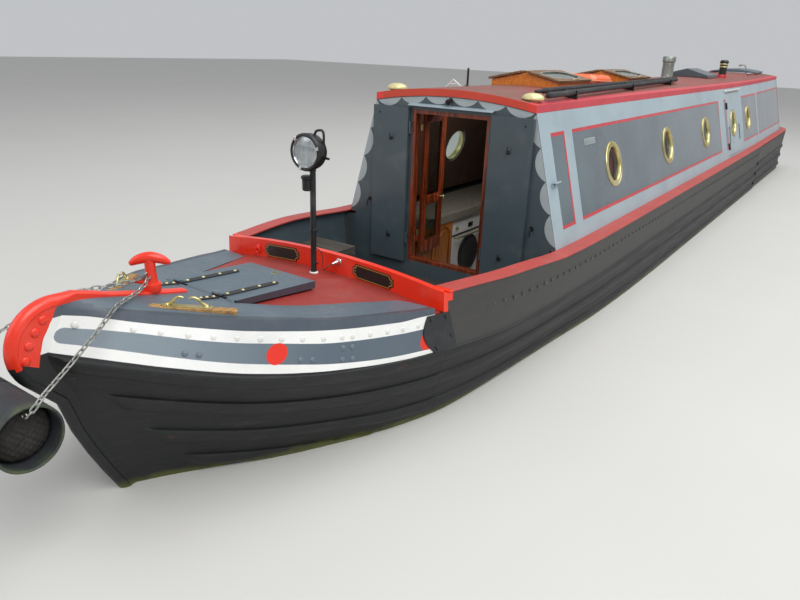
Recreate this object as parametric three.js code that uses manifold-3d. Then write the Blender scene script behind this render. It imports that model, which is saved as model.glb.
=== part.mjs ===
// A 50 foot steel narrowboat with a traditional stern, afloat, at full size in millimetres.
// +X points to the bow, +Y to port and +Z up; the flat underside of the base plate is z = 0.
// Along the boat, x is measured from the front bulkhead of the cabin, and ORIGIN_X centres the whole.

import * as THREE from 'three';
import { mergeVertices } from 'three/addons/utils/BufferGeometryUtils.js';
import Module from 'manifold-3d';

// Driving dimensions of the hull
const FIT = 0.3;                  // gap between two pieces that touch
const CLEAR = 5;                  // gap round a piece that moves
const PLATE = 12;                 // base plate
const HULL_WALL = 70;             // steel, insulation and lining
const MID_X = -2500;              // the bow's curves begin here
const DASH_X = 1380;              // aft face of the decked bow
const SWIM_X = -8200;             // the swim of the stern begins here
const STERNPOST_X = -11200;
const STERN_X = -11980;           // end of the counter
const UXTER_Z = 520;              // underside of the counter
const STEM_HALF = 28;
const STRAKE_HEIGHT = 52;
const STRAKE_DEPTH = 20;
const GUNWALE = 28;
const STERN_RISE = 70;            // how far the top edge sweeps up aft
const SHEER_X = -6000;

// Driving dimensions of the cabin
const CABIN_AFT = -11100;
const WALL = 50;
const CABIN_BASE_Y = 920;
const CABIN_TOP_Y = 668;
const GUNWALE_TOP = 1290;
const ROOF_EDGE_Z = 2208;
const ROOF_THICK = 52;
const ROOF_CROWN = 61;
const FLOOR_TOP = 320;
const WELL_FLOOR = 840;
const WELL_PLATE = 30;

// Doorways
const DOORWAY_HALF = 330;
const DOORWAY_BOTTOM = 980;
const DOORWAY_TOP = 2160;
const JAMB = 30;
const REAR_DOOR_BOTTOM = 1400;
const REAR_DOOR_TOP = 2250;

// Portholes and side hatch
const PORTHOLE_HOLE = 165;
const PORTHOLE_RING = 190;
const PORTHOLE_Z = 1735;
const PORTHOLES_PORT = [-1380, -3080, -4840, -7790];
const PORTHOLES_STARBOARD = [-1380, -3080, -4840, -6610, -7790];
const HATCH_PORTHOLE_X = -6610;
const SIDE_HATCH = { front: -6200, aft: -7100, bottom: 1310, top: 2150 };

// Foredeck
const RECESS_AFT_HALF = 650;
const RECESS_FORE_HALF = 262;
const RECESS_FORE_X = 2320;
const CANT_X = [1440, 1500];      // the raised sides of the deck begin here
const FOREDECK = { z: 1245, slope: 0.1, crown: 58, half: 845 };
const DECK_PLATE = 12;
const DECK_CROWN = 55;
const CROWN_X = 2000;             // the deck is flat across abaft this

// Propeller and rudder
const SHAFT_Z = 270;
const PROPELLER_X = -11400;
const RUDDER_X = -11820;
const TILLER_Z = 2480;
const STOCK_R = 22;
const TUBE = 60;                  // stern tube abaft the sternpost
const PIT = { x: [-9800, -8500], half: 330, bottom: 70 };

// Dash and well
const DASH_THICK = 40;
const DASH_TOP = 1362;
const DASH_CROWN = 58;
const RIM = 112;                  // breadth of the gunwale round the well

const WATERLINE = 580;
const BOW_REACH = 3482.6;         // front of the bow fender
const STERN_REACH = -12160;       // aft edge of the rudder
const ORIGIN_X = (BOW_REACH + STERN_REACH) / 2;

// Half-breadths of the hull from midships (run 0) to the stem (run 1)
// columns: run, base plate, waterline, upper strake, deck edge
const HALF_BREADTHS = [
  [0.00, 990, 1010, 1021, 1035],
  [0.15, 988, 1000, 1021, 1035],
  [0.30, 970, 975, 1020, 1035],
  [0.45, 920, 915, 1005, 1028],
  [0.58, 850, 868, 972, 990],
  [0.68, 765, 825, 885, 878],
  [0.76, 650, 712, 790, 768],
  [0.83, 490, 525, 675, 640],
  [0.89, 335, 355, 515, 470],
  [0.94, 185, 195, 300, 245],
  [0.975, 90, 90, 130, 85],
  [1.00, STEM_HALF, STEM_HALF, STEM_HALF, STEM_HALF],
];

// Stem line behind the stem bar, columns: height, x
const STEM_LINE = [
  [PLATE, 2330],
  [250, 2590],
  [580, 2815],
  [780, 2895],
  [970, 2965],
  [1170, 3025],
  [1375, 3110],
  [1545, 3020],
];

// Long lines of the hull, bottom to top, columns: height amidships, at the stem, power, how far it stands out
const LINES = [
  [PLATE, PLATE, 1, 0],
  [250, 250, 1, 0],
  ...strakeLines(540, 780),
  ...strakeLines(700, 970),
  ...strakeLines(860, 1170),
  ...strakeLines(1020, 1375),
  [1262, 1545, 4.5, 0],
];

// A rubbing strake is four lines: its lower edge in and out, and its upper edge out and in.
function strakeLines(midTop, stemTop) {
  const midBottom = midTop - STRAKE_HEIGHT;
  const stemBottom = stemTop - STRAKE_HEIGHT;
  const bevel = 10;
  return [
    [midBottom, stemBottom, 6, 0],
    [midBottom + bevel, stemBottom + bevel, 6, STRAKE_DEPTH],
    [midTop - bevel, stemTop - bevel, 6, STRAKE_DEPTH],
    [midTop, stemTop, 6, 0],
  ];
}

const wasm = await Module();
wasm.setup();

const V = (x, y, z) => new THREE.Vector3(x, y, z);
const lerp = THREE.MathUtils.lerp;
const clamp01 = (t) => THREE.MathUtils.clamp(t, 0, 1);

// Linear reading of a table of rows [key, value, ...] at one column
function read(table, key, column = 1) {
  let i = 1;
  while (i < table.length - 1 && (table[i][0] - key) * (table[1][0] - table[0][0]) < 0) i += 1;
  const [a, b] = [table[i - 1], table[i]];
  return lerp(a[column], b[column], clamp01((key - a[0]) / (b[0] - a[0])));
}

// Solids

function solidOf(geometry) {
  const bare = geometry.index ? geometry.toNonIndexed() : geometry.clone();
  const plain = new THREE.BufferGeometry().setAttribute('position', bare.getAttribute('position'));
  const merged = mergeVertices(plain, 1e-3);
  return new wasm.Manifold(new wasm.Mesh({
    numProp: 3,
    vertProperties: merged.attributes.position.array,
    triVerts: new Uint32Array(merged.index.array),
  }));
}

function geometryOf(solid) {
  const mesh = solid.getMesh();
  const geometry = new THREE.BufferGeometry();
  geometry.setAttribute('position', new THREE.BufferAttribute(new Float32Array(mesh.vertProperties), 3));
  geometry.setIndex(new THREE.BufferAttribute(new Uint32Array(mesh.triVerts), 1));
  return geometry;
}

function cut(body, ...tools) {
  let solid = solidOf(body);
  for (const tool of tools) solid = solid.subtract(solidOf(tool));
  return geometryOf(solid);
}

function join(...bodies) {
  let solid = solidOf(bodies[0]);
  for (const body of bodies.slice(1)) solid = solid.add(solidOf(body));
  return geometryOf(solid);
}

function box(x0, x1, y0, y1, z0, z1) {
  const geometry = new THREE.BoxGeometry(Math.abs(x1 - x0), Math.abs(y1 - y0), Math.abs(z1 - z0));
  return geometry.translate((x0 + x1) / 2, (y0 + y1) / 2, (z0 + z1) / 2);
}

// A flat outline pushed along one axis: its points are (y, z) along x, (x, z) along y and (x, y) along z.
function prism(points, axis, from, to) {
  const flat = axis === 'y' ? points.map(([x, z]) => new THREE.Vector2(z, x))
    : points.map(([a, b]) => new THREE.Vector2(a, b));
  const shape = new THREE.Shape(flat);
  const geometry = new THREE.ExtrudeGeometry(shape, { depth: to - from, bevelEnabled: false, steps: 1 });
  const turn = new THREE.Matrix4();
  if (axis === 'x') turn.makeBasis(V(0, 1, 0), V(0, 0, 1), V(1, 0, 0));
  if (axis === 'y') turn.makeBasis(V(0, 0, 1), V(1, 0, 0), V(0, 1, 0));
  return geometry.translate(0, 0, from).applyMatrix4(turn);
}

function rod(a, b, radius, sides = 16, radiusB = radius) {
  const along = b.clone().sub(a);
  const geometry = new THREE.CylinderGeometry(radiusB, radius, along.length(), sides);
  const turn = new THREE.Quaternion().setFromUnitVectors(V(0, 1, 0), along.clone().normalize());
  return geometry.applyQuaternion(turn).translate(...a.clone().add(b).multiplyScalar(0.5).toArray());
}

// A turned solid about the local z axis: profile points are (radius, z).
function turned(profile, sides = 24) {
  const points = profile.map(([r, z]) => new THREE.Vector2(r, z));
  return new THREE.LatheGeometry(points, sides).rotateX(Math.PI / 2);
}

// A round bar along a route
function bar(points, radius, steps, sides = 12, bend = 0.5) {
  const route = new THREE.CatmullRomCurve3(points, false, 'catmullrom', bend);
  const section = new THREE.Shape();
  section.absarc(0, 0, radius, 0, 2 * Math.PI, false);
  return new THREE.ExtrudeGeometry(section, { steps, curveSegments: sides / 2, extrudePath: route });
}

// A skin over closed rings of points, one after another, with a cap at each end
function loft(rings) {
  const count = rings[0].length;
  const positions = [];
  const push = (...points) => points.forEach((p) => positions.push(p.x, p.y, p.z));
  for (let i = 0; i + 1 < rings.length; i += 1) {
    for (let j = 0; j < count; j += 1) {
      const k = (j + 1) % count;
      push(rings[i][j], rings[i][k], rings[i + 1][k]);
      push(rings[i][j], rings[i + 1][k], rings[i + 1][j]);
    }
  }
  const cap = (ring, flip) => {
    const outline = ring.map((p) => new THREE.Vector2(p.y, p.z));
    for (const [a, b, c] of THREE.ShapeUtils.triangulateShape(outline, [])) {
      if (flip) push(ring[a], ring[c], ring[b]);
      else push(ring[a], ring[b], ring[c]);
    }
  };
  const clockwise = THREE.ShapeUtils.isClockWise(rings[0].map((p) => new THREE.Vector2(p.y, p.z)));
  cap(rings[0], !clockwise);
  cap(rings[rings.length - 1], clockwise);
  const geometry = new THREE.BufferGeometry();
  geometry.setAttribute('position', new THREE.Float32BufferAttribute(positions, 3));
  const solid = solidOf(geometry);
  return solid.volume() < 0 ? geometryOf(solidOf(inverted(geometry))) : geometryOf(solid);
}

function inverted(geometry) {
  const p = geometry.getAttribute('position').array.slice();
  for (let i = 0; i < p.length; i += 9) {
    for (let k = 0; k < 3; k += 1) [p[i + 3 + k], p[i + 6 + k]] = [p[i + 6 + k], p[i + 3 + k]];
  }
  const turnedOut = new THREE.BufferGeometry();
  turnedOut.setAttribute('position', new THREE.Float32BufferAttribute(p, 3));
  return turnedOut;
}

function mirrored(geometry) {
  const bare = geometry.index ? geometry.toNonIndexed() : geometry.clone();
  const other = new THREE.BufferGeometry().setAttribute('position', bare.getAttribute('position').clone());
  return inverted(other.scale(1, -1, 1));
}

// The whole boat, one named mesh for each piece

const boat = new THREE.Group();
boat.position.x = -ORIGIN_X;

function piece(name, geometry, [color, roughness, metalness]) {
  const material = new THREE.MeshStandardMaterial({ color, roughness, metalness });
  const mesh = new THREE.Mesh(geometry, material);
  mesh.name = name;
  boat.add(mesh);
  return mesh;
}

const PAINT = {
  black: [0x17181a, 0.75, 0.1],
  hull: [0x4a4d50, 0.7, 0.1],
  slate: [0x46525a, 0.45, 0.1],
  slateDark: [0x3f4b50, 0.5, 0.1],
  cabin: [0x6d7c83, 0.25, 0.1],
  pale: [0xa4b3b8, 0.35, 0.1],
  red: [0xe0361c, 0.45, 0.05],
  brick: [0xb83a30, 0.55, 0.05],
  roof: [0x9c4a40, 0.7, 0.05],
  brass: [0xc8a24a, 0.3, 0.9],
  steel: [0xb8bcc0, 0.3, 0.9],
  wood: [0x8a4a1c, 0.35, 0.0],
  wornWood: [0x8c6a3c, 0.7, 0.0],
  glass: [0x9fb4b8, 0.05, 0.0],
  rubber: [0x1c1c1c, 0.85, 0.0],
  rope: [0x2a2825, 0.95, 0.0],
  zinc: [0x9aa0a2, 0.5, 0.8],
  white: [0xe6e6e2, 0.35, 0.0],
  orange: [0xe8642c, 0.7, 0.0],
  bronze: [0x9a7434, 0.35, 0.9],
  floor: [0x3c3a37, 0.9, 0.0],
};

// Hull

const sheer = (x) => STERN_RISE * clamp01((SHEER_X - x) / (SHEER_X - STERN_X)) ** 2;
const stemX = (z) => read(STEM_LINE, z);
const foredeckZ = (x, y = 0) => FOREDECK.z + FOREDECK.slope * (x - DASH_X)
  + FOREDECK.crown * (1 - (y / FOREDECK.half) ** 2);

function lineHeight([mid, stem, power], run) {
  return lerp(mid, stem, clamp01(run) ** power);
}

function halfBreadth(run, z) {
  const strake = lineHeight([1020, 1375, 6], run);
  const deck = lineHeight(LINES[LINES.length - 1], run);
  const heights = [[PLATE, 1], [WATERLINE, 2], [strake, 3], [deck, 4]];
  let i = 1;
  while (i < 3 && z > heights[i][0]) i += 1;
  const [low, high] = [heights[i - 1], heights[i]];
  const t = clamp01((z - low[0]) / (high[0] - low[0]));
  return lerp(read(HALF_BREADTHS, run, low[1]), read(HALF_BREADTHS, run, high[1]), t);
}

// A point of one long line of the hull at a given share of the way from x = from to its own stem
function bowPoint(line, from, share) {
  const end = stemX(line[1]);
  const x = lerp(from, end, share);
  const run = (x - MID_X) / (end - MID_X);
  const z = lineHeight(line, run);
  const step = 0.01;
  const y = halfBreadth(run, z);
  const ahead = halfBreadth(run + step, z);
  const slope = run > 0 ? (ahead - y) / (step * (end - MID_X)) : 0;
  const out = line[3] / Math.hypot(1, slope);
  return V(x - slope * out * (share > 0 ? 1 : 0), y + out, z);
}

// A point of a long line aft of midships, where the breadth is constant as far as the counter
function sidePoint(line, x) {
  const run = Math.max(0, (x - MID_X) / (stemX(line[1]) - MID_X));
  const z = lineHeight(line, run);
  const rise = sheer(x) * clamp01((z - WATERLINE) / (GUNWALE_TOP - WATERLINE));
  return V(x, halfBreadth(run, z) + line[3], z + rise);
}

const deckLine = LINES[LINES.length - 1];
const deckEdge = (x) => sidePoint(deckLine, x);
const mirror = (p) => V(p.x, -p.y, p.z);

function bowRing(share) {
  const side = LINES.map((line) => bowPoint(line, DASH_X, share));
  const edge = side[side.length - 1];
  const crown = DECK_CROWN * clamp01((edge.x - CROWN_X) / 1000);
  const middle = V(edge.x, 0, edge.z + crown);
  const inner = V(edge.x, edge.y * 0.55, edge.z + crown * 0.75);
  const port = [...side, inner];
  return [...port, middle, ...port.slice().reverse().map(mirror)];
}

// Half-breadth of the sunk red foredeck between the cants
function recessHalf(x) {
  const taper = (RECESS_FORE_HALF - RECESS_AFT_HALF) / (RECESS_FORE_X - DASH_X);
  return RECESS_AFT_HALF + taper * (x - DASH_X);
}

// A crowned slab along the foredeck: abaft the cants it is as broad as half, drawn in by a gap elsewhere.
function crownedSlab(aft, half, gap, below, above) {
  const across = 10;
  const fore = RECESS_FORE_X - gap;
  const [from, to] = CANT_X;
  const plan = [[aft, half], [from, half], [to, recessHalf(to) - gap], [fore, recessHalf(fore) - gap]];
  return loft(plan.map(([x, reach]) => {
    const line = [];
    for (let i = 0; i <= across; i += 1) line.push(lerp(reach, -reach, i / across));
    const upper = line.map((y) => V(x, y, foredeckZ(x, y) + above));
    return [...upper, ...line.reverse().map((y) => V(x, y, foredeckZ(x, y) + below))];
  }));
}

function bow() {
  const shares = [0, 0.16, 0.32, 0.46, 0.58, 0.69, 0.79, 0.87, 0.94, 1];
  const body = loft(shares.map(bowRing));
  const recess = crownedSlab(DASH_X - 50, FOREDECK.half + 15, 0, -DECK_PLATE, 300);
  const fixed = LOCKER_PIN.rows.map((y) => knuckle(V(0, y, LOCKER_PIN.offset), LOCKER_PIN.offset, 60, -1));
  return join(cut(body, recess, lockerHole()), ...fixed.map((g) => g.applyMatrix4(lockerFrame)));
}

// A copy moved a little, to be cut out of what rests against it
const overBow = (x, z) => bow().translate(x, 0, z);
const fitOnBow = (body) => cut(body, overBow(0, FIT));
const hullTool = (inwards, up) => hullSide().translate(0, -inwards, up);
const hullTools = () => [hullTool(FIT, 0), hullTool(0, FIT)].flatMap((tool) => [tool, mirrored(tool)]);
const fitInHull = (body) => cut(body, ...hullTools());

function foredeck() {
  return cut(crownedSlab(DASH_X + FIT, FOREDECK.half - 5, 2 * FIT, -DECK_PLATE + FIT, 0), lockerHole());
}

// The stations that every long piece shares, so that their faces meet; span keeps those between two ends.
const STATIONS = [-10200, -9200, SWIM_X, -7100, SHEER_X, MID_X, -1200, -400, 0, 400, 800, 1120];

function span(aft, fore) {
  return [aft, ...STATIONS.filter((x) => x > aft + 60 && x < fore - 60), fore];
}

// The lining inside the hull side
function innerY(x, z) {
  const foot = sidePoint(LINES[0], x);
  const top = deckEdge(x);
  return lerp(foot.y, top.y, (z - foot.z) / (top.z - foot.z)) - HULL_WALL;
}

function hullSide() {
  const rings = span(SWIM_X + FIT, DASH_X - FIT).map((x) => {
    const outer = LINES.map((line) => sidePoint(line, x));
    const top = outer[outer.length - 1].z;
    return [...outer, V(x, innerY(x, top), top), V(x, innerY(x, PLATE), PLATE)];
  });
  return loft(rings);
}

// The gunwale: as far in as the cabin's lining, and a broad rim round the well
function gunwale() {
  const alongCabin = span(CABIN_AFT + FIT, 0).map((x) => gunwaleRing(x, CABIN_BASE_Y - WALL - 2));
  const alongWell = span(0, DASH_X - DASH_THICK - FIT).map((x) => gunwaleRing(x, deckEdge(x).y - RIM));
  return join(loft(alongCabin), loft(alongWell));
}

function gunwaleRing(x, inner) {
  const { y, z } = deckEdge(x);
  const low = z + FIT;
  return [V(x, y + 6, low), V(x, y + 6, low + GUNWALE), V(x, inner, low + GUNWALE), V(x, inner, low)];
}

const gunwaleTop = (x) => deckEdge(x).z + FIT + GUNWALE;

function basePlate() {
  const side = HALF_BREADTHS.map(([run]) => bowPoint(LINES[0], MID_X, run));
  const swim = SWIM_PLAN.slice().reverse().map(([x, y]) => V(x, y, 0));
  const port = [...swim, ...side];
  const skegEnd = [[RUDDER_X - 60, 30], [STERNPOST_X, 30]];
  const outline = [...skegEnd, ...port.map((p) => [p.x, p.y + 8])];
  const other = outline.slice().reverse().map(([x, y]) => [x, -y]);
  return prism([...outline, ...other], 'z', 0, PLATE - FIT);
}

// Half-breadth of the swim, columns: x, half-breadth
const SWIM_PLAN = [
  [SWIM_X, 990],
  [-8800, 955],
  [-9400, 850],
  [-10000, 655],
  [-10600, 370],
  [STERNPOST_X, 30],
];

// The counter is full breadth as far as the cabin's end and half an ellipse behind it.
const COUNTER_RUNS = [0, 0.25, 0.45, 0.62, 0.77, 0.88, 0.96, 1];
const counterX = (run) => lerp(CABIN_AFT, STERN_X, run);
const counterShare = (run) => Math.max(0.06, Math.sqrt(1 - run * run));
const COUNTER_PLAN = [
  ...[SWIM_X, -9200, -10200].map((x) => [x, 1]),
  ...COUNTER_RUNS.map((run) => [counterX(run), counterShare(run)]),
];

function counter() {
  const upper = LINES.filter(([mid]) => mid > UXTER_Z + 20);
  const rings = COUNTER_PLAN.map(([x, share]) => {
    const side = upper.map((line) => {
      const p = sidePoint(line, Math.min(x, SWIM_X));
      return V(x, p.y * share, p.z);
    });
    const foot = V(x, sidePoint([UXTER_Z, UXTER_Z, 1, 0], x).y * share, UXTER_Z);
    const port = [foot, ...side];
    return [...port, ...port.slice().reverse().map(mirror)];
  });
  const swimRings = SWIM_PLAN.map(([x, y]) => {
    const top = UXTER_Z + 20;
    const spread = x === SWIM_X ? 20 : 0;
    return [V(x, y, PLATE), V(x, y + spread, top), V(x, -y - spread, top), V(x, -y, PLATE)];
  });
  const floorZ = UXTER_Z + 60;
  const roomHalf = 950;
  const room = box(CABIN_AFT + WALL, SWIM_X + 50, -roomHalf, roomHalf, floorZ, 2000);
  const pit = box(...PIT.x, -PIT.half, PIT.half, PIT.bottom, floorZ + 10);
  const stockHole = rod(V(RUDDER_X, 0, 400), V(RUDDER_X, 0, 1600), STOCK_R + 8, 24);
  const tube = rod(V(STERNPOST_X + 60, 0, SHAFT_Z), V(STERNPOST_X - TUBE, 0, SHAFT_Z), 42, 20);
  return cut(join(loft(rings), loft(swimRings), tube), room, pit, stockHole);
}

// The foredeck locker: its lid is hinged along its forward edge.
const LOCKER = { aft: 1745, fore: 2304, half: 250, aftTop: 1386, slope: 0.084 };
const LOCKER_PIN = { x: 2318, z: 1433, offset: 10, rows: [-190, 100] };
const lockerTop = (x) => LOCKER.aftTop + LOCKER.slope * (x - LOCKER.aft);
const lockerHole = () => box(LOCKER.aft + 50, LOCKER.fore - 60, -200, 200, 1020, 1600);
const lockerFrame = new THREE.Matrix4().makeBasis(V(-1, 0, 0), V(0, -1, 0), V(0, 0, 1))
  .setPosition(LOCKER_PIN.x, 0, LOCKER_PIN.z);

// Stem bar: outer line (x, z) from the forefoot up, round the nose and back along the deck
const STEM_OUTER = [
  [2372, 12],
  [2640, 245],
  [2862, 575],
  [3045, 970],
  [3105, 1170],
];
const NOSE = { x: 3050, z: 1400, radius: 210, from: -0.75, to: 1.65 };
const STEM_BACK_X = 2410;
const STEM_BAND = 15;             // thickness of its end along the deck
const deckRun = (x) => (x - MID_X) / (stemX(deckLine[1]) - MID_X);
const deckMiddle = (x) => lineHeight(deckLine, deckRun(x)) + DECK_CROWN * clamp01((x - CROWN_X) / 1000);

function stemBar() {
  const nose = [];
  const turns = 9;
  for (let i = 0; i <= turns; i += 1) {
    const angle = lerp(NOSE.from, NOSE.to, i / turns);
    nose.push([NOSE.x + NOSE.radius * Math.cos(angle), NOSE.z + NOSE.radius * Math.sin(angle)]);
  }
  const band = [2880, 2640, STEM_BACK_X].map((x) => [x, deckMiddle(x) + STEM_BAND]);
  const inside = [[STEM_BACK_X, 1400], [2960, 1400], [2800, 970], [2650, 580], [2300, 12]];
  const bare = prism([...STEM_OUTER, ...nose, ...band, ...inside], 'y', -STEM_HALF, STEM_HALF);
  return cut(bare, overBow(FIT, FIT), overBow(FIT, -FIT));
}

function sternDeck() {
  const plan = COUNTER_RUNS.map((run) => {
    const x = run === 0 ? CABIN_AFT : counterX(run);
    return V(x, deckEdge(Math.min(x, SWIM_X)).y * counterShare(run), deckEdge(x).z + FIT);
  });
  const rings = plan.map((p) => [V(p.x, p.y, p.z), V(p.x, p.y, p.z + GUNWALE),
    V(p.x, -p.y, p.z + GUNWALE), V(p.x, -p.y, p.z)]);
  const hole = rod(V(RUDDER_X, 0, 1200), V(RUDDER_X, 0, 1600), STOCK_R + 8, 24);
  const dollies = [-1, 1].map((side) => {
    const foot = V(-11560, side * 560, deckEdge(-11560).z + GUNWALE);
    const top = V(-11560, side * 560, foot.z + 90);
    return [rod(foot.clone().setZ(foot.z - 5), top, 26, 16, 20),
      rod(top.clone().setZ(top.z - 4), V(top.x, top.y, top.z + 24), 34, 16, 26)];
  });
  return join(cut(loft(rings), hole), ...dollies.flat());
}

// Well deck

function wellFloor() {
  const port = span(FIT, DASH_X - FIT).map((x) => [x, innerY(x, WELL_FLOOR) + 25]);
  const other = port.slice().reverse().map(([x, y]) => [x, -y]);
  return fitInHull(prism([...port, ...other], 'z', WELL_FLOOR, WELL_FLOOR + WELL_PLATE));
}

const wellTop = WELL_FLOOR + WELL_PLATE;

// The cross-board between the foredeck and the well, as high as the gunwales
function dash() {
  const aft = DASH_X - DASH_THICK;
  const hullTop = deckEdge(DASH_X).z + FIT;
  const reach = deckEdge(DASH_X).y - 22;
  const shares = [1, 0.8, 0.6, 0.4, 0.2, 0.05];
  const port = [
    [innerY(DASH_X, wellTop) + 30, wellTop + FIT],
    [innerY(DASH_X, hullTop) + 40, hullTop - 10],
    [innerY(DASH_X, hullTop) + 40, hullTop + FIT],
    [deckEdge(DASH_X).y + 4, hullTop + FIT],
    ...shares.map((share) => [reach * share, DASH_TOP + DASH_CROWN * (1 - share ** 2)]),
  ];
  const other = port.slice().reverse().map(([y, z]) => [-y, z]);
  return fitInHull(prism([...port, ...other], 'x', aft, DASH_X - FIT));
}

// A locker seat along the starboard side of the well, with a cut-out in its front
function wellSeat() {
  const [aft, fore, inner, top] = [430, 1250, 520, 1150];
  const wall = 22;
  const low = wellTop + FIT;
  const outer = (x, z) => -innerY(x, z) - 30;
  const shell = fitInHull(loft(span(aft, fore).map((x) => [V(x, -inner, low), V(x, -inner, top),
    V(x, outer(x, top), top), V(x, outer(x, low), low)])));
  const inside = box(aft + wall, fore - wall, -inner - wall, -inner - 130, wellTop - 5, top - wall);
  const cutOut = box(760, 960, -inner - wall - 5, -inner + 5, 930, 1060);
  return cut(shell, inside, cutOut);
}

// Cabin

const SIDE_SLOPE = (CABIN_BASE_Y - CABIN_TOP_Y) / (ROOF_EDGE_Z - GUNWALE_TOP);
const LEAN = Math.atan(SIDE_SLOPE);
const cabinY = (z, x) => CABIN_BASE_Y - SIDE_SLOPE * (z - sheer(x) - GUNWALE_TOP);

// The plane of the port side at one place: local x runs aft, y up the side and z straight out of it.
function sideFrame(x, z) {
  const frame = new THREE.Matrix4();
  frame.makeBasis(V(-1, 0, 0), V(0, -Math.sin(LEAN), Math.cos(LEAN)), V(0, Math.cos(LEAN), Math.sin(LEAN)));
  return frame.setPosition(x, cabinY(z, x), z);
}

function cabinRing(x) {
  const low = gunwaleTop(x) + FIT;
  const high = ROOF_EDGE_Z + sheer(x) - FIT;
  const deep = WALL / Math.cos(LEAN);
  return [V(x, cabinY(low, x), low), V(x, cabinY(high, x), high),
    V(x, cabinY(high, x) - deep, high), V(x, cabinY(low, x) - deep, low)];
}

function portholeHole(x) {
  const hole = new THREE.CylinderGeometry(PORTHOLE_HOLE, PORTHOLE_HOLE, 4 * WALL, 24).rotateX(Math.PI / 2);
  return hole.applyMatrix4(sideFrame(x, PORTHOLE_Z + sheer(x)));
}

function cabinSide(portholes) {
  const body = loft(span(CABIN_AFT + WALL + FIT, -WALL - FIT).map(cabinRing));
  return cut(body, ...portholes.map(portholeHole));
}

const hatchLength = SIDE_HATCH.front - SIDE_HATCH.aft;
const hatchHeight = (SIDE_HATCH.top - SIDE_HATCH.bottom) / Math.cos(LEAN);
const hatchFrame = sideFrame(SIDE_HATCH.front, SIDE_HATCH.bottom);

// A hinge of two knuckles on one pin, in a frame whose y axis is parallel to the pin. Offset is the height
// of the pin above the surface, reach the length of each leaf; side is 1 for the moving leaf.
function knuckle(pin, offset, reach, side, length = KNUCKLE.length) {
  const low = side > 0 ? pin.y + length + KNUCKLE.gap : pin.y;
  const tube = rod(V(pin.x, low, pin.z), V(pin.x, low + length, pin.z), KNUCKLE.radius, 10);
  const leaf = box(pin.x, pin.x + side * reach, low, low + length, pin.z - offset - 1, pin.z - offset + 5);
  return join(tube, leaf);
}
const KNUCKLE = { radius: 8, length: 45, gap: 0.4 };

const HATCH_PIN = { x: CLEAR / 2, z: 10, rows: [90, 650] };

function portSide() {
  const opening = box(0, hatchLength, 0, hatchHeight, -2 * WALL, WALL).applyMatrix4(hatchFrame);
  const fixed = HATCH_PIN.rows.map((y) => knuckle(V(HATCH_PIN.x, y, HATCH_PIN.z), HATCH_PIN.z, 42, -1));
  const side = cut(cabinSide(PORTHOLES_PORT), opening);
  return join(side, ...fixed.map((g) => g.applyMatrix4(hatchFrame)), ...PORTHOLES_PORT.map(porthole));
}

function starboardSide() {
  return mirrored(join(cabinSide(PORTHOLES_STARBOARD), ...PORTHOLES_STARBOARD.map(porthole)));
}

function sideHatch() {
  const leaf = box(CLEAR, hatchLength - CLEAR, CLEAR, hatchHeight - CLEAR, -WALL, 0);
  const moving = HATCH_PIN.rows.map((y) => knuckle(V(HATCH_PIN.x, y, HATCH_PIN.z), HATCH_PIN.z, 46, 1));
  const holed = cut(join(leaf, ...moving).applyMatrix4(hatchFrame), portholeHole(HATCH_PORTHOLE_X));
  return join(holed, porthole(HATCH_PORTHOLE_X));
}

// A brass ring with its glass, turned about the local z axis; z = 0 is the outside of the side.
function porthole(x) {
  const seat = PORTHOLE_HOLE + 3;
  const glass = 142;
  const profile = [
    [0, -14], [glass, -14], [glass, 2 - WALL], [seat, 2 - WALL], [seat, -2], [PORTHOLE_RING, -2],
    [PORTHOLE_RING, 7], [PORTHOLE_RING - 12, 13], [glass, 10], [glass, -8], [0, -8],
  ];
  return turned(profile, 24).applyMatrix4(sideFrame(x, PORTHOLE_Z + sheer(x)));
}

const roofTop = (x, y) => ROOF_EDGE_Z + ROOF_THICK + ROOF_CROWN * (1 - (y / CABIN_TOP_Y) ** 2) + sheer(x);

function roofRing(x, lift = 0) {
  const across = 14;
  const upper = [];
  for (let i = 0; i <= across; i += 1) {
    const y = lerp(CABIN_TOP_Y, -CABIN_TOP_Y, i / across);
    upper.push(V(x, y, roofTop(x, y) + lift));
  }
  const lower = upper.slice().reverse().map((p) => V(p.x, p.y, p.z - ROOF_THICK));
  return [...upper, ...lower];
}

function roofSlab(lift = 0) {
  return loft(span(CABIN_AFT - ROOF_LIP, ROOF_LIP).map((x) => roofRing(x, lift)));
}
const ROOF_LIP = 8;

const SLIDE = { half: 330, length: 760, travel: 690, runner: 372 };
const SKYLIGHTS = [
  { name: 'skylight_fore', aft: -1860, fore: -1180 },
  { name: 'skylight_mid', aft: -3720, fore: -3050 },
];
const SKYLIGHT = { half: 308, wall: 22, eave: 2358, ridge: 2424, lid: 20, hang: 22 };

function roof() {
  const slide = box(CABIN_AFT - 50, CABIN_AFT + SLIDE.length - 60, -SLIDE.half, SLIDE.half, 2200, 2500);
  const wells = SKYLIGHTS.map(({ aft, fore }) => box(aft + 60, fore - 60, -250, 250, 2200, 2500));
  const runners = [-1, 1].map((side) => {
    const y = side * SLIDE.runner;
    const [aft, fore] = [CABIN_AFT, CABIN_AFT + SLIDE.length + SLIDE.travel];
    return loft(span(aft, fore).map((x) => [V(x, y - 12, roofTop(x, y) - 8), V(x, y + 12, roofTop(x, y) - 8),
      V(x, y + 12, runnerTop(x)), V(x, y - 12, runnerTop(x))]));
  });
  return join(cut(roofSlab(), slide, ...wells), ...runners);
}
const runnerTop = (x) => roofTop(x, SLIDE.runner) + 26;

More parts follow.
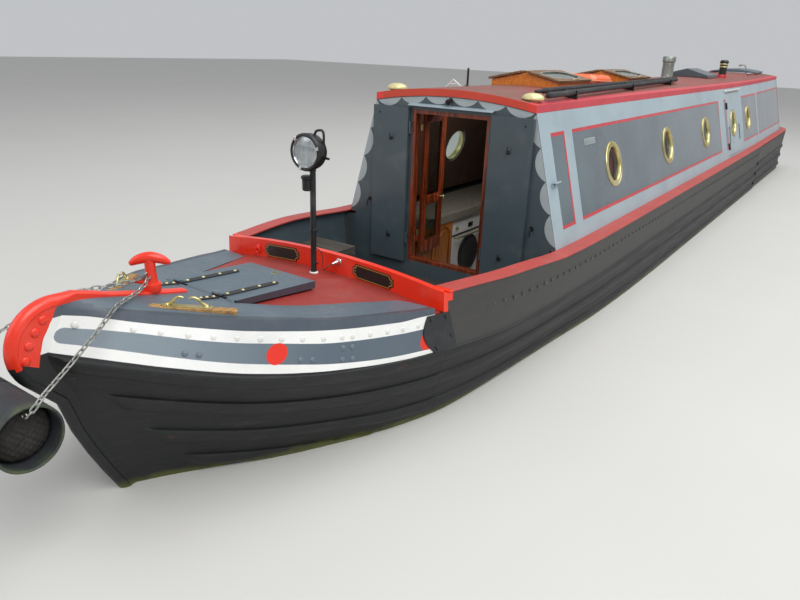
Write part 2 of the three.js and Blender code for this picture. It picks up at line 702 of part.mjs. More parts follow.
// The sliding hatch: a shallow lid that runs forward on two runners
function rearSlide() {
  const [aft, fore] = [CABIN_AFT - 6, CABIN_AFT + SLIDE.length];
  const half = SLIDE.runner + 34;
  const ring = (x) => {
    const low = runnerTop(x) - 16;
    const top = runnerTop(x) + FIT;
    const arc = [1, 0.6, 0.2, -0.2, -0.6, -1].map((t) => V(x, half * t, top + 10 + 44 * (1 - t * t)));
    const edge = SLIDE.runner + 12 + CLEAR;
    return [...arc, V(x, -half, low), V(x, -edge, low), V(x, -edge, top), V(x, edge, top),
      V(x, edge, low), V(x, half, low)];
  };
  return loft([aft, fore].map(ring));
}

// Half the line along which a bulkhead meets the roof, a little above the roof's underside
function arcUnderRoof(x) {
  const line = [0.95, 0.8, 0.6, 0.4, 0.2, 0].map((share) => CABIN_TOP_Y * share);
  return line.map((y) => [y, roofTop(x, y) - ROOF_THICK + 12]);
}

function frontBulkhead() {
  const shelf = deckEdge(-WALL).z;
  const top = ROOF_EDGE_Z;
  const port = [
    [innerY(0, WELL_FLOOR) + 30, WELL_FLOOR],
    [innerY(-WALL, shelf) + 30, shelf - FIT],
    [CABIN_BASE_Y - WALL - 4, shelf - FIT],
    [CABIN_BASE_Y - WALL - 4, gunwaleTop(0) + FIT],
    [cabinY(gunwaleTop(0) + FIT, 0), gunwaleTop(0) + FIT],
    [cabinY(top, 0), top],
  ];
  const right = [...port, ...arcUnderRoof(0)];
  const left = right.slice(0, -1).reverse().map(([y, z]) => [-y, z]);
  const wall = cut(fitInHull(prism([...right, ...left], 'x', -WALL, -FIT)), roofSlab(-FIT));
  const doorway = box(-2 * WALL, WALL, -DOORWAY_HALF, DOORWAY_HALF, DOORWAY_BOTTOM, DOORWAY_TOP);
  const brackets = [-1, 1].flatMap((side) => OUTER_PIN.rows.map((z) => doorBracket(side, z)));
  return join(cut(wall, doorway), ...brackets);
}

// The steel doors swing on pins ahead of the bulkhead, and lie open against it.
const OUTER_PIN = { x: 20.5, y: 338, rows: [1120, 1980] };
const OUTER_DOOR = { thick: 25, from: 12, to: 335, bottom: 972, top: 2172 };

function doorBracket(side, z) {
  const y = side * OUTER_PIN.y;
  const tube = rod(V(OUTER_PIN.x, y, z), V(OUTER_PIN.x, y, z + KNUCKLE.length), KNUCKLE.radius, 10);
  return join(tube, box(-10, OUTER_PIN.x, y - 4, y + 4, z, z + KNUCKLE.length));
}

function outerDoor() {
  const { x, y, rows } = OUTER_PIN;
  const half = OUTER_DOOR.thick / 2;
  const { from, to, bottom, top } = OUTER_DOOR;
  const leaf = box(x - half, x + half, y + from, y + to, bottom, top);
  const moving = rows.map((z) => {
    const low = z + KNUCKLE.length + KNUCKLE.gap;
    const tube = rod(V(x, y, low), V(x, y, low + KNUCKLE.length), KNUCKLE.radius, 10);
    return join(tube, box(x - 4, x + 4, y, y + 30, low, low + KNUCKLE.length));
  });
  return join(leaf, ...moving);
}

// The glazed wood doors swing inwards on pins behind the frame.
const INNER_PIN = { x: -104, y: 313, rows: [1120, 1950] };
const INNER_DOOR = { from: 8, to: 309, near: 8, far: 36, bottom: 1018, top: 2122 };

function doorFrame() {
  const doorway = (aft, fore, gap) => box(aft, fore, gap - DOORWAY_HALF, DOORWAY_HALF - gap,
    DOORWAY_BOTTOM + gap, DOORWAY_TOP - gap);
  const outer = doorway(-60, -3, FIT);
  const inner = doorway(-90, 20, JAMB);
  const brackets = [-1, 1].flatMap((side) => INNER_PIN.rows.map((z) => {
    const y = side * INNER_PIN.y;
    const tube = rod(V(INNER_PIN.x, y, z), V(INNER_PIN.x, y, z + KNUCKLE.length), KNUCKLE.radius, 10);
    return join(tube, box(INNER_PIN.x, -58, y + side * 4, y + side * 10, z, z + KNUCKLE.length));
  }));
  return join(cut(outer, inner), ...brackets);
}

// One glazed door as it stands shut, with its pin at the origin: x outwards, y towards the middle
function innerLeaf() {
  const { from, to, near, far, bottom, top } = INNER_DOOR;
  const stile = 56;
  const middle = 1450;
  const panes = [[bottom + 90, middle - 30], [middle + 30, top - stile]];
  const slab = box(near, far, from, to, bottom, top);
  const recesses = panes.flatMap(([low, high]) => [
    box(near - 5, near + 10, from + stile, to - stile, low, high),
    box(far - 10, far + 5, from + stile, to - stile, low, high),
  ]);
  const moving = INNER_PIN.rows.map((z) => {
    const low = z + KNUCKLE.length + KNUCKLE.gap;
    const tube = rod(V(0, 0, low), V(0, 0, low + KNUCKLE.length), KNUCKLE.radius, 10);
    return join(tube, box(0, near + 4, 0, from + 20, low, low + KNUCKLE.length));
  });
  return join(cut(slab, ...recesses), ...moving);
}

// The starboard door stands open, a quarter turn inwards.
function innerDoor() {
  const opened = innerLeaf().rotateZ(Math.PI / 2);
  return opened.translate(INNER_PIN.x, -INNER_PIN.y, 0);
}

function rearBulkhead() {
  const rise = sheer(CABIN_AFT);
  const low = deckEdge(CABIN_AFT).z + GUNWALE + 2 * FIT;
  const top = ROOF_EDGE_Z + rise;
  const right = [[cabinY(low, CABIN_AFT), low], [cabinY(top, CABIN_AFT), top], ...arcUnderRoof(CABIN_AFT)];
  const left = right.slice(0, -1).reverse().map(([y, z]) => [-y, z]);
  const wall = cut(prism([...right, ...left], 'x', CABIN_AFT, CABIN_AFT + WALL), roofSlab(-FIT));
  const doorway = box(CABIN_AFT - 50, CABIN_AFT + 100, -REAR_HALF, REAR_HALF, REAR_DOOR_BOTTOM, 2500);
  const brackets = [-1, 1].flatMap((side) => REAR_PIN.rows.map((z) => {
    const y = side * REAR_PIN.y;
    const tube = rod(V(REAR_PIN.x, y, z), V(REAR_PIN.x, y, z + KNUCKLE.length), KNUCKLE.radius, 10);
    return join(tube, box(REAR_PIN.x, CABIN_AFT + 10, y - 4, y + 4, z, z + KNUCKLE.length));
  }));
  return join(cut(wall, doorway), ...brackets);
}
const REAR_HALF = 300;
const REAR_PIN = { x: CABIN_AFT - 20.5, y: 318, rows: [1500, 2080] };

function rearDoor() {
  const { x, y, rows } = REAR_PIN;
  const half = OUTER_DOOR.thick / 2;
  const leaf = box(x - half, x + half, 3, y - OUTER_DOOR.from, REAR_DOOR_BOTTOM - 12, REAR_DOOR_TOP);
  const moving = rows.map((z) => {
    const low = z + KNUCKLE.length + KNUCKLE.gap;
    const tube = rod(V(x, y, low), V(x, y, low + KNUCKLE.length), KNUCKLE.radius, 10);
    return join(tube, box(x - 4, x + 4, y - 30, y, low, low + KNUCKLE.length));
  });
  return join(leaf, ...moving);
}

function cabinFloor() {
  const outline = span(SWIM_X + 2, -WALL - 10).map((x) => [x, innerY(x, PLATE) - 2]);
  const other = outline.slice().reverse().map(([x, y]) => [x, -y]);
  return prism([...outline, ...other], 'z', PLATE + FIT, FLOOR_TOP);
}

// Skylights: gabled boxes on the roof, each with two lids hinged along the ridge
function gable(half, wall, eave, ridge, low = 2270) {
  return [[-half + wall, low], [half - wall, low], [half - wall, eave], [0, ridge], [-half + wall, eave]];
}

function skylight({ aft, fore }) {
  const { half, wall, eave, ridge } = SKYLIGHT;
  const outer = prism(gable(half, 0, eave, ridge), 'x', aft, fore);
  const inner = prism(gable(half, wall, eave + 40, ridge + 80, 2200), 'x', aft + wall, fore - wall);
  const beam = box(aft + wall, fore - wall, -26, 26, ridge - 50, ridge - 8);
  const pins = ridgePins(aft, fore).flatMap((x) => [-1, 1].map((side) => {
    const pin = V(x, side * RIDGE_PIN.y, RIDGE_PIN.z);
    const tube = rod(pin, V(x + 30, pin.y, pin.z), 6, 12);
    return join(tube, box(x, x + 30, pin.y - 4, pin.y + 4, ridge - 20, pin.z));
  }));
  return cut(join(cut(outer, inner), beam, ...pins), roofSlab(FIT));
}
const RIDGE_PIN = { y: 12, z: SKYLIGHT.ridge + 14 };
const ridgePins = (aft, fore) => [aft + 90, fore - 120];

function skylightLid({ aft, fore }) {
  const { half, eave, ridge, lid, hang } = SKYLIGHT;
  const slope = (ridge - eave) / half;
  const from = RIDGE_PIN.y + 10;
  const to = half + hang;
  const z = (y) => ridge - slope * y + CLEAR;
  const outline = [[from, z(from)], [to, z(to)], [to, z(to) + lid], [from, z(from) + lid]];
  const slab = prism(outline, 'x', aft - hang, fore + hang);
  const moving = ridgePins(aft, fore).map((x) => {
    const low = V(x + 30 + KNUCKLE.gap, RIDGE_PIN.y, RIDGE_PIN.z);
    const tube = rod(low, V(low.x + 30, low.y, low.z), 6, 12);
    return join(tube, box(low.x, low.x + 30, low.y, from + 4, low.z - 5, low.z + 4));
  });
  return join(slab, ...moving);
}

function roofBox() {
  const { half, eave, ridge } = SKYLIGHT;
  return cut(prism(gable(half, 0, eave, ridge + 20, 2290), 'x', -7420, -6760), roofSlab(FIT));
}

// Foredeck fittings

function lockerLid() {
  const { aft, fore, half } = LOCKER;
  const outline = [[aft, foredeckZ(aft) + CLEAR], [fore, foredeckZ(fore) + CLEAR], [fore, lockerTop(fore)],
    [aft, lockerTop(aft)]];
  const moving = LOCKER_PIN.rows.map((y) => knuckle(V(0, y, LOCKER_PIN.offset), LOCKER_PIN.offset, 60, 1));
  return join(prism(outline, 'y', -half, half), ...moving.map((g) => g.applyMatrix4(lockerFrame)));
}

function tStud() {
  const foot = V(2580, 0, 1470);
  const neck = V(2580, 0, 1640);
  const along = V(Math.cos(T_TURN), Math.sin(T_TURN), 0);
  const at = (reach, z) => V(foot.x + along.x * reach, foot.y + along.y * reach, z);
  const tip = [[-100, 1632, 16], [-70, 1656, 20], [0, 1668, 24], [70, 1656, 20], [100, 1632, 16]];
  const arms = tip.slice(1).map(([reach, z, r], i) => {
    const [before, beforeZ, beforeR] = tip[i];
    return rod(at(before, beforeZ), at(reach, z), beforeR, 12, r);
  });
  const horn = rod(at(10, 1548), at(92, 1552), 16, 12, 5);
  const collar = rod(foot, foot.clone().setZ(1560), 38, 20, 30);
  const whole = join(collar, rod(foot, neck.clone().setZ(1660), 22, 16), horn, ...arms);
  const band = () => stemBar().scale(1, 1 + FIT / STEM_HALF, 1);
  return cut(fitOnBow(whole), band(), band().translate(0, 0, FIT));
}
const T_TURN = -0.755;

const LAMP = { x: 1480, post: 17, foot: 35, top: 1915, bowl: [1525, 2028], turn: 0.12 };

function lampPost() {
  const { x, post, foot, top } = LAMP;
  const z = foredeckZ(x);
  const collar = rod(V(x, 0, 1540), V(x, 0, 1575), post + 6, 16);
  const plate = box(x - foot, x + foot, -foot, foot, z - 5, z + 8);
  const whole = join(rod(V(x, 0, z - 5), V(x, 0, top), post, 16), plate, collar);
  return cut(whole, crownedSlab(DASH_X + 5, 200, 2 * FIT, -60, FIT));
}

// The headlamp: a bowl on a bracket at the top of the post, turned a little to port
function headlamp() {
  const profile = [[0, -85], [45, -80], [88, -45], [104, -6], [104, 14], [98, 22], [0, 26]];
  const [x, z] = LAMP.bowl;
  const bowl = turned(profile, 28).rotateY(Math.PI / 2).rotateZ(LAMP.turn).translate(x, 0, z);
  return join(bowl, box(LAMP.x - 12, LAMP.x + 22, -16, 16, LAMP.top + FIT, z - 38));
}

// The lamp's cable leaves the post, hangs in a short loop and ends in a plug in the dash.
const PLUG = { y: 112, z: 1380, tail: DASH_X + 66 };
const CABLE_R = 3;
const CABLE = [
  [LAMP.x, LAMP.post + 0.5, 1466], [1479, 30, 1465], [1472, 46, 1453], [1467, 54, 1434], [1464, 58, 1412],
  [1464, 58, 1390], [1466, 60, 1370], [1472, 67, 1353], [1481, 78, 1346], [1489, 91, 1350], [1490, 103, 1361],
  [1482, 110, 1373], [1468, PLUG.y, 1379], [PLUG.tail + FIT, PLUG.y, PLUG.z],
];

function lampCable() {
  return bar(CABLE.map(([x, y, z]) => V(x, y, z)), CABLE_R, 22, 8);
}

function lampPlug() {
  const length = PLUG.tail - DASH_X;
  const profile = [[0, FIT], [19, FIT], [19, 5], [13, 9], [13, 34], [9, 46], [5.5, length], [0, length]];
  return turned(profile, 16).rotateY(Math.PI / 2).translate(DASH_X, PLUG.y, PLUG.z);
}

// Bow fender and its chains

const FENDER = { x: 3347.6, z: 1203, radius: 135, inner: 104, half: 300, groove: 8, sunk: 20 };

// Two rubber sleeves with open ends on a rope core, lying across in front of the stem
function bowFender() {
  const { x, z, radius, inner, half, groove, sunk } = FENDER;
  const profile = [
    [0, sunk - half], [inner, sunk - half], [inner, -half], [radius, -half], [radius, -groove],
    [inner, -groove], [inner, groove], [radius, groove], [radius, half], [inner, half],
    [inner, half - sunk], [0, half - sunk],
  ];
  return turned(profile, 28).rotateX(-Math.PI / 2).translate(x, 0, z);
}

function fenderChain() {
  const coreEnd = FENDER.half - FENDER.sunk;
  const route = [
    [2601, 12, 1585], [2700, 66, 1560], [2850, 136, 1548], [2980, 195, 1480], [3150, 262, 1390],
    [3290, 320, 1310], [3336, 326, 1250], [3346, 305, 1225], [3346, coreEnd + FIT, 1225],
  ];
  return bar(route.map(([x, y, z]) => V(x, y, z)), 9, 24, 8, 0.3);
}

function fairlead() {
  const block = box(-245, 245, -22, 22, 0, 26);
  const horn = bar([V(-110, 0, 20), V(-70, 0, 46), V(-10, 0, 62)], 8, 8, 8);
  const horn2 = bar([V(110, 0, 20), V(70, 0, 46), V(24, 0, 62)], 8, 8, 8);
  return fitOnBow(join(block, horn, horn2).rotateY(-0.12).rotateZ(-0.72).translate(2560, 262, 1464));
}

// Roof fittings

const roofPoint = (x, y, lift = 0) => V(x, y, roofTop(x, y) + lift);

function mushroomVent() {
  const dome = [[0, 0], [46, 0], [46, 22], [74, 22], [76, 30], [62, 50], [34, 64], [0, 68]];
  const foot = roofPoint(-130, 572);
  return cut(turned(dome, 20).translate(foot.x, foot.y, foot.z - 6), roofSlab(FIT));
}

function flue() {
  const profile = [
    [0, -20], [82, -20], [82, 14], [72, 18], [72, 222], [80, 224], [80, 278], [62, 288], [0, 288],
  ];
  const foot = roofPoint(-4850, 215);
  return cut(turned(profile, 20).translate(foot.x, foot.y, foot.z), roofSlab(FIT));
}

function chimney() {
  const profile = [
    [0, -20], [70, -20], [70, 46], [56, 52], [56, 214], [66, 218], [66, 236], [44, 262], [0, 264],
  ];
  const foot = roofPoint(-7800, 300);
  return cut(turned(profile, 20).translate(foot.x, foot.y, foot.z), roofSlab(FIT));
}

// Two padded poles lie in clips along the port edge of the roof.
const POLES = [
  { from: [-280, 520], to: [-4690, 368] },
  { from: [-250, 632], to: [-4450, 436] },
];
const POLE_R = 27;

function roofPoles() {
  const lift = POLE_R + 20;
  const pole = ({ from, to }) => rod(roofPoint(...from, lift), roofPoint(...to, lift), POLE_R, 14);
  const clips = [0.12, 0.5, 0.88].map((t) => {
    const [a, b] = POLES.map(({ from, to }) => [lerp(from[0], to[0], t), lerp(from[1], to[1], t)]);
    const x = (a[0] + b[0]) / 2;
    const [inner, outer] = [Math.min(a[1], b[1]) - 30, Math.max(a[1], b[1]) + 30];
    const z = roofTop(x, outer);
    return box(x - 20, x + 20, inner, outer, z - 8, z + lift);
  });
  return cut(join(...POLES.map(pole), ...clips), roofSlab(FIT));
}

function lifebuoy() {
  const tube = 55;
  const foot = roofPoint(-2430, 20, tube - 10);
  const ring = new THREE.TorusGeometry(235, tube, 8, 24);
  return cut(ring.translate(foot.x, foot.y, foot.z), roofSlab(FIT));
}

// Inside the cabin

// Two cupboards under one worktop, with a space between them for the washer
const GALLEY = { aft: -2300, fore: -170, back: -830, front: -350, top: 1240, board: 36 };
const WASHER = { aft: -1395, fore: -735, front: -360, door: V(-1010, 0, 862), radius: 215, standsOut: 25 };

function galley() {
  const { aft, fore, back, front, top, board } = GALLEY;
  const low = FLOOR_TOP + FIT;
  const aftCupboard = box(aft, WASHER.aft - CLEAR, back, front, low, top);
  const foreCupboard = box(WASHER.fore + CLEAR, fore, back, front, low, top);
  return join(aftCupboard, foreCupboard, box(aft, fore, back, front + 12, top - board, top));
}

function washer() {
  const { aft, fore, front, door, radius, standsOut } = WASHER;
  const body = box(aft, fore, GALLEY.back, front, FLOOR_TOP + FIT, GALLEY.top - GALLEY.board - CLEAR);
  return join(body, rod(door.clone().setY(front - 5), door.clone().setY(front + standsOut), radius, 28));
}

function engine() {
  return box(-9600, -8800, -250, 250, PIT.bottom + FIT, 640);
}

// Propeller, rudder and tiller

function propeller() {
  const hub = rod(V(-11455, 0, SHAFT_Z), V(-11345, 0, SHAFT_Z), 38, 20, 44);
  const shaft = rod(V(-11350, 0, SHAFT_Z), V(STERNPOST_X - TUBE - FIT, 0, SHAFT_Z), 19, 16);
  const blades = [0, 1, 2].map((i) => {
    const face = new THREE.Shape();
    face.absellipse(120, 0, 90, 74, 0, 2 * Math.PI, false);
    const blade = new THREE.ExtrudeGeometry(face, { depth: 10, bevelEnabled: false, curveSegments: 9 });
    blade.translate(0, 0, -5).rotateX(0.65);
    blade.rotateY(-Math.PI / 2).rotateX((i * 2 * Math.PI) / 3);
    return blade.translate(PROPELLER_X, 0, SHAFT_Z);
  });
  return join(hub, shaft, ...blades);
}

function rudder() {
  const blade = box(STERN_REACH, -11665, -7, 7, 62, 478);
  const pin = rod(V(RUDDER_X, 0, PLATE), V(RUDDER_X, 0, 80), 15, 16);
  const stock = rod(V(RUDDER_X, 0, 60), V(RUDDER_X, 0, 1560), STOCK_R, 20);
  const swan = [[RUDDER_X, 1540], [RUDDER_X - 30, 1800], [RUDDER_X - 10, 2150], [RUDDER_X + 100, 2390],
    [RUDDER_X + 320, TILLER_Z], [RUDDER_X + 620, TILLER_Z + 8], [RUDDER_X + 920, TILLER_Z + 8]];
  const neck = bar(swan.map(([x, z]) => V(x, 0, z)), 19, 20, 10);
  return join(blade, pin, stock, neck);
}

piece('base_plate', basePlate(), PAINT.black);
piece('bow', bow(), PAINT.black);
piece('stem_bar', stemBar(), PAINT.red);
piece('foredeck', foredeck(), PAINT.brick);
piece('hull_side_port', hullSide(), PAINT.hull);
piece('hull_side_starboard', mirrored(hullSide()), PAINT.hull);
piece('counter', counter(), PAINT.hull);
piece('gunwale_port', gunwale(), PAINT.red);
piece('gunwale_starboard', mirrored(gunwale()), PAINT.red);
piece('stern_deck', sternDeck(), PAINT.red);
piece('dash', dash(), PAINT.red);
piece('well_floor', wellFloor(), PAINT.floor);
piece('well_seat', wellSeat(), PAINT.wornWood);
piece('cabin_floor', cabinFloor(), PAINT.wornWood);
piece('front_bulkhead', frontBulkhead(), PAINT.slateDark);
piece('rear_bulkhead', rearBulkhead(), PAINT.slateDark);
piece('cabin_side_port', portSide(), PAINT.cabin);
piece('cabin_side_starboard', starboardSide(), PAINT.cabin);
piece('roof', roof(), PAINT.roof);
piece('door_frame', doorFrame(), PAINT.wood);
piece('outer_door_port', outerDoor(), PAINT.slateDark);
piece('outer_door_starboard', mirrored(outerDoor()), PAINT.slateDark);
piece('inner_door_starboard', innerDoor(), PAINT.wood);
piece('inner_door_port', mirrored(innerDoor()), PAINT.wood);
piece('side_hatch', sideHatch(), PAINT.pale);
piece('rear_door_port', rearDoor(), PAINT.slateDark);
piece('rear_door_starboard', mirrored(rearDoor()), PAINT.slateDark);
piece('rear_slide', rearSlide(), PAINT.slate);
for (const place of SKYLIGHTS) {
  piece(place.name, skylight(place), PAINT.wood);
  piece(`${place.name}_lid_port`, skylightLid(place), PAINT.wood);
  piece(`${place.name}_lid_starboard`, mirrored(skylightLid(place)), PAINT.wood);
}
piece('roof_box', roofBox(), PAINT.slate);
piece('locker_lid', lockerLid(), PAINT.slate);
piece('t_stud', tStud(), PAINT.red);
piece('lamp_post', lampPost(), PAINT.black);
piece('headlamp', headlamp(), PAINT.black);
piece('lamp_cable', lampCable(), PAINT.rope);
piece('lamp_plug', lampPlug(), PAINT.steel);
piece('bow_fender', bowFender(), PAINT.rubber);
piece('fender_chain_port', fenderChain(), PAINT.zinc);
piece('fender_chain_starboard', mirrored(fenderChain()), PAINT.zinc);
piece('fairlead_port', fairlead(), PAINT.brass);
piece('fairlead_starboard', mirrored(fairlead()), PAINT.brass);
piece('mushroom_vent_port', mushroomVent(), PAINT.brass);
piece('mushroom_vent_starboard', mirrored(mushroomVent()), PAINT.brass);
piece('flue', flue(), PAINT.steel);
piece('chimney', chimney(), PAINT.black);
piece('roof_poles', roofPoles(), PAINT.black);
piece('lifebuoy', lifebuoy(), PAINT.orange);
piece('galley', galley(), PAINT.wood);
piece('washer', washer(), PAINT.white);
piece('engine', engine(), PAINT.zinc);
piece('propeller', propeller(), PAINT.bronze);
piece('rudder', rudder(), PAINT.black);

export default boat;
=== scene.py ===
# The looks of the narrowboat, in the row frame: metres, +X to the bow, +Y to port, +Z up.
import bpy
import bmesh
from bisect import bisect
from math import atan, cos, hypot, pi, sin, sqrt
from mathutils import Matrix, Vector


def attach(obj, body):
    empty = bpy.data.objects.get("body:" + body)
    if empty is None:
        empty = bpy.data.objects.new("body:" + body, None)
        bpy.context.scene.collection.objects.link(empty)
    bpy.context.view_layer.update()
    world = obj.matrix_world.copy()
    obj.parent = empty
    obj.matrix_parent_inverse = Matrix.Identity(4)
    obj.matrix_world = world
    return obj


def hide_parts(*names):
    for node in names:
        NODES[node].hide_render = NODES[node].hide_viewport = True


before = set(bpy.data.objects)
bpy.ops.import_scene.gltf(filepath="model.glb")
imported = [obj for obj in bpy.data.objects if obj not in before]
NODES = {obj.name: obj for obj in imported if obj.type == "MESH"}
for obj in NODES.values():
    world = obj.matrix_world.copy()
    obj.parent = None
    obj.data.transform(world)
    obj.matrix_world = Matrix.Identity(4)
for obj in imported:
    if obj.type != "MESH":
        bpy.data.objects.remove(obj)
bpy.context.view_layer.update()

# Places along the boat are written as in the CAD: millimetres, with x = 0 at the front bulkhead
ORIGIN_X = -4338.7
SIDES = ((1, "port"), (-1, "starboard"))
shift = Matrix.Translation


def V(x, y, z):
    return Vector((x, y, z))


def row(p):
    return V((p[0] - ORIGIN_X) / 1000, p[1] / 1000, p[2] / 1000)


def spin(angle, axis):
    return Matrix.Rotation(angle, 4, axis)


def add(obj):
    bpy.context.scene.collection.objects.link(obj)
    return obj


# Camera, fitted to the edges of the boat in the photograph
CAMERA = {"at": (8.6617, 2.5803, 2.5951), "yaw": 3.7423, "pitch": -0.3613, "roll": 0.0383, "lens": 30.18}


def make_camera():
    yaw, pitch, roll = CAMERA["yaw"], CAMERA["pitch"], CAMERA["roll"]
    ahead = V(cos(yaw) * cos(pitch), sin(yaw) * cos(pitch), sin(pitch))
    right = ahead.cross(V(0, 0, 1)).normalized()
    up = right.cross(ahead)
    r, u = right * cos(roll) + up * sin(roll), up * cos(roll) - right * sin(roll)
    data = bpy.data.cameras.new("camera")
    data.lens, data.sensor_width, data.clip_end = CAMERA["lens"], 36, 500
    camera = add(bpy.data.objects.new("camera", data))
    camera.matrix_world = shift(CAMERA["at"]) @ Matrix((r, u, -ahead)).transposed().to_4x4()
    bpy.context.scene.camera = camera


make_camera()

# Hull sizes, as in the CAD
MID_X, DASH_X, SWIM_X, STERN_X, SHEER_X = -2500, 1380, -8200, -11980, -6000
CABIN_AFT, WALL, FIT, PLATE, HULL_WALL = -11100, 50, 0.3, 12, 70
GUNWALE, WATERLINE, GUNWALE_TOP, RIM = 28, 580, 1290, 112
ROOF_EDGE_Z, ROOF_THICK, ROOF_CROWN, CABIN_BASE_Y, CABIN_TOP_Y = 2208, 52, 61, 920, 668
SIDE_SLOPE = (CABIN_BASE_Y - CABIN_TOP_Y) / (ROOF_EDGE_Z - GUNWALE_TOP)
LEAN = atan(SIDE_SLOPE)

# Columns: run from midships to the stem, half-breadth at base plate, waterline, upper strake, deck edge
HALF_BREADTHS = [
    (0.00, 990, 1010, 1021, 1035), (0.15, 988, 1000, 1021, 1035), (0.30, 970, 975, 1020, 1035),
    (0.45, 920, 915, 1005, 1028), (0.58, 850, 868, 972, 990), (0.68, 765, 825, 885, 878),
    (0.76, 650, 712, 790, 768), (0.83, 490, 525, 675, 640), (0.89, 335, 355, 515, 470),
    (0.94, 185, 195, 300, 245), (0.975, 90, 90, 130, 85), (1.00, 28, 28, 28, 28)]
# Columns: height, x
STEM_LINE = [(12, 2330), (250, 2590), (580, 2815), (780, 2895), (970, 2965), (1170, 3025), (1375, 3110),
             (1545, 3020)]


def clamp(t, low=0.0, high=1.0):
    return max(low, min(high, t))


def lerp(a, b, t):
    return a + (b - a) * t


# Even steps from one value to another, with both ends
def steps(a, b, count):
    return [lerp(a, b, i / count) for i in range(count + 1)]


# Angles all round
def angles(count):
    return [2 * pi * i / count for i in range(count)]


# A smooth reading of one column of a table, with no overshoot
def curve(rows, column=1):
    keys, values = [r[0] for r in rows], [r[column] for r in rows]
    rises = [(values[i + 1] - values[i]) / (keys[i + 1] - keys[i]) for i in range(len(keys) - 1)]
    slopes = [rises[0], *[0 if a * b <= 0 else 2 * a * b / (a + b) for a, b in zip(rises, rises[1:])], rises[-1]]

    def at(key):
        key = clamp(key, keys[0], keys[-1])
        i = clamp(bisect(keys, key) - 1, 0, len(keys) - 2)
        h = keys[i + 1] - keys[i]
        t = (key - keys[i]) / h
        return ((1 + 2 * t) * (1 - t) ** 2 * values[i] + t * (1 - t) ** 2 * h * slopes[i]
                + t * t * (3 - 2 * t) * values[i + 1] + t * t * (t - 1) * h * slopes[i + 1])
    return at


BREADTH_AT = [curve(HALF_BREADTHS, column) for column in (1, 2, 3, 4)]
stem_x = curve(STEM_LINE)


def sheer(x):
    return 70 * clamp((SHEER_X - x) / (SHEER_X - STERN_X)) ** 2


# Long lines of the hull. Columns: height midships, height at the stem, power of the rise between, how far out
STRAKE_HIGH, STRAKE_DEEP, RISE_POWER = 80, 20, 5.3
STRAKE_LINE, DECK_LINE = (975, 1375, RISE_POWER, 0), (1262, 1545, 4.5, 0)


# A rubbing strake is a soft half round: lines from its foot to its top
def strake_lines(mid_top, stem_top):
    lines = []
    for a in steps(0, pi, 8):
        drop = STRAKE_HIGH * (1 + cos(a)) / 2
        lines.append((mid_top - drop, stem_top - drop, RISE_POWER, STRAKE_DEEP * max(0, sin(a)) ** 0.8))
    return lines


LINES = [(12, 12, 1, 0), (250, 250, 1, 0), *strake_lines(505, 780), *strake_lines(650, 970),
         *strake_lines(815, 1170), *strake_lines(975, 1375)[:-1], STRAKE_LINE, DECK_LINE]


def line_height(line, run):
    return lerp(line[0], line[1], clamp(run) ** line[2])


def half_breadth(run, z):
    heights = [12, WATERLINE, line_height(STRAKE_LINE, run), line_height(DECK_LINE, run)]
    i = 1
    while i < 3 and z > heights[i]:
        i += 1
    t = clamp((z - heights[i - 1]) / (heights[i] - heights[i - 1]))
    return lerp(BREADTH_AT[i - 1](run), BREADTH_AT[i](run), t)


# A point of a long line of the hull, by its share of the way from the dash to its own stem. The strakes begin a
# little abaft the stem, the lower ones farther back.
def bow_point(line, share):
    end = stem_x(line[1])
    x = lerp(DASH_X, end, share)
    run = (x - MID_X) / (end - MID_X)
    z = line_height(line, run)
    y = half_breadth(run, z)
    slope = (half_breadth(min(1, run + 0.01), z) - y) / (0.01 * (end - MID_X))
    t = clamp((end - x - (1375 - line[1]) * 0.42) / 55)
    out = line[3] * t * t * (3 - 2 * t) / hypot(1, slope)
    return V(x - slope * out * (share > 0), y + out, z)


def side_point(line, x):
    run = max(0, (x - MID_X) / (stem_x(line[1]) - MID_X))
    z = line_height(line, run)
    rise = sheer(x) * clamp((z - WATERLINE) / (GUNWALE_TOP - WATERLINE))
    return V(x, half_breadth(run, z) + line[3], z + rise)


def deck_edge(x):
    return side_point(DECK_LINE, x)


# The raised sides of the foredeck fall away towards the dash; the gunwales rise towards it
CANT_DROP = curve([(1380, 42), (1535, 39), (1710, 29), (2070, 18), (2350, 0), (2600, 0)])
RISE = curve([(-700, 0), (0, 5), (200, 13), (400, 25), (700, 34), (1000, 30), (1380, 15)])
LIP = 12


def deck_crown(x):
    return 55 * clamp((x - 2000) / 1000)


def deck_z(x, y=0):
    run = (x - MID_X) / (stem_x(DECK_LINE[1]) - MID_X)
    edge = max(1, BREADTH_AT[3](run))
    return line_height(DECK_LINE, run) - CANT_DROP(x) + deck_crown(x) * (1 - clamp(abs(y) / edge) ** 2)


def foredeck_z(x, y=0):
    return 1245 + 0.1 * (x - DASH_X) + 58 * (1 - (y / 845) ** 2)


def recess_half(x):
    return 650 + (262 - 650) * (x - DASH_X) / (2320 - DASH_X)


def roof_top(x, y):
    return ROOF_EDGE_Z + ROOF_THICK + ROOF_CROWN * (1 - (y / CABIN_TOP_Y) ** 2) + sheer(x)


# Forms: each is (points, faces) in millimetres

def skin(rings, closed=True, ends=True):
    n, points = len(rings[0]), [p for ring in rings for p in ring]
    faces = [(i + j, i + (j + 1) % n, i + n + (j + 1) % n, i + n + j)
             for i in range(0, len(points) - n, n) for j in range(n if closed else n - 1)]
    if ends:
        faces += [tuple(range(n)), tuple(range(len(points) - n, len(points)))]
    return points, faces


def hoop(r, z, sides, at):
    return [at @ V(r * cos(a), r * sin(a), z) for a in angles(sides)]


def turned(profile, sides=32, at=Matrix()):
    return skin([hoop(max(r, 0.01), z, sides, at) for r, z in profile])


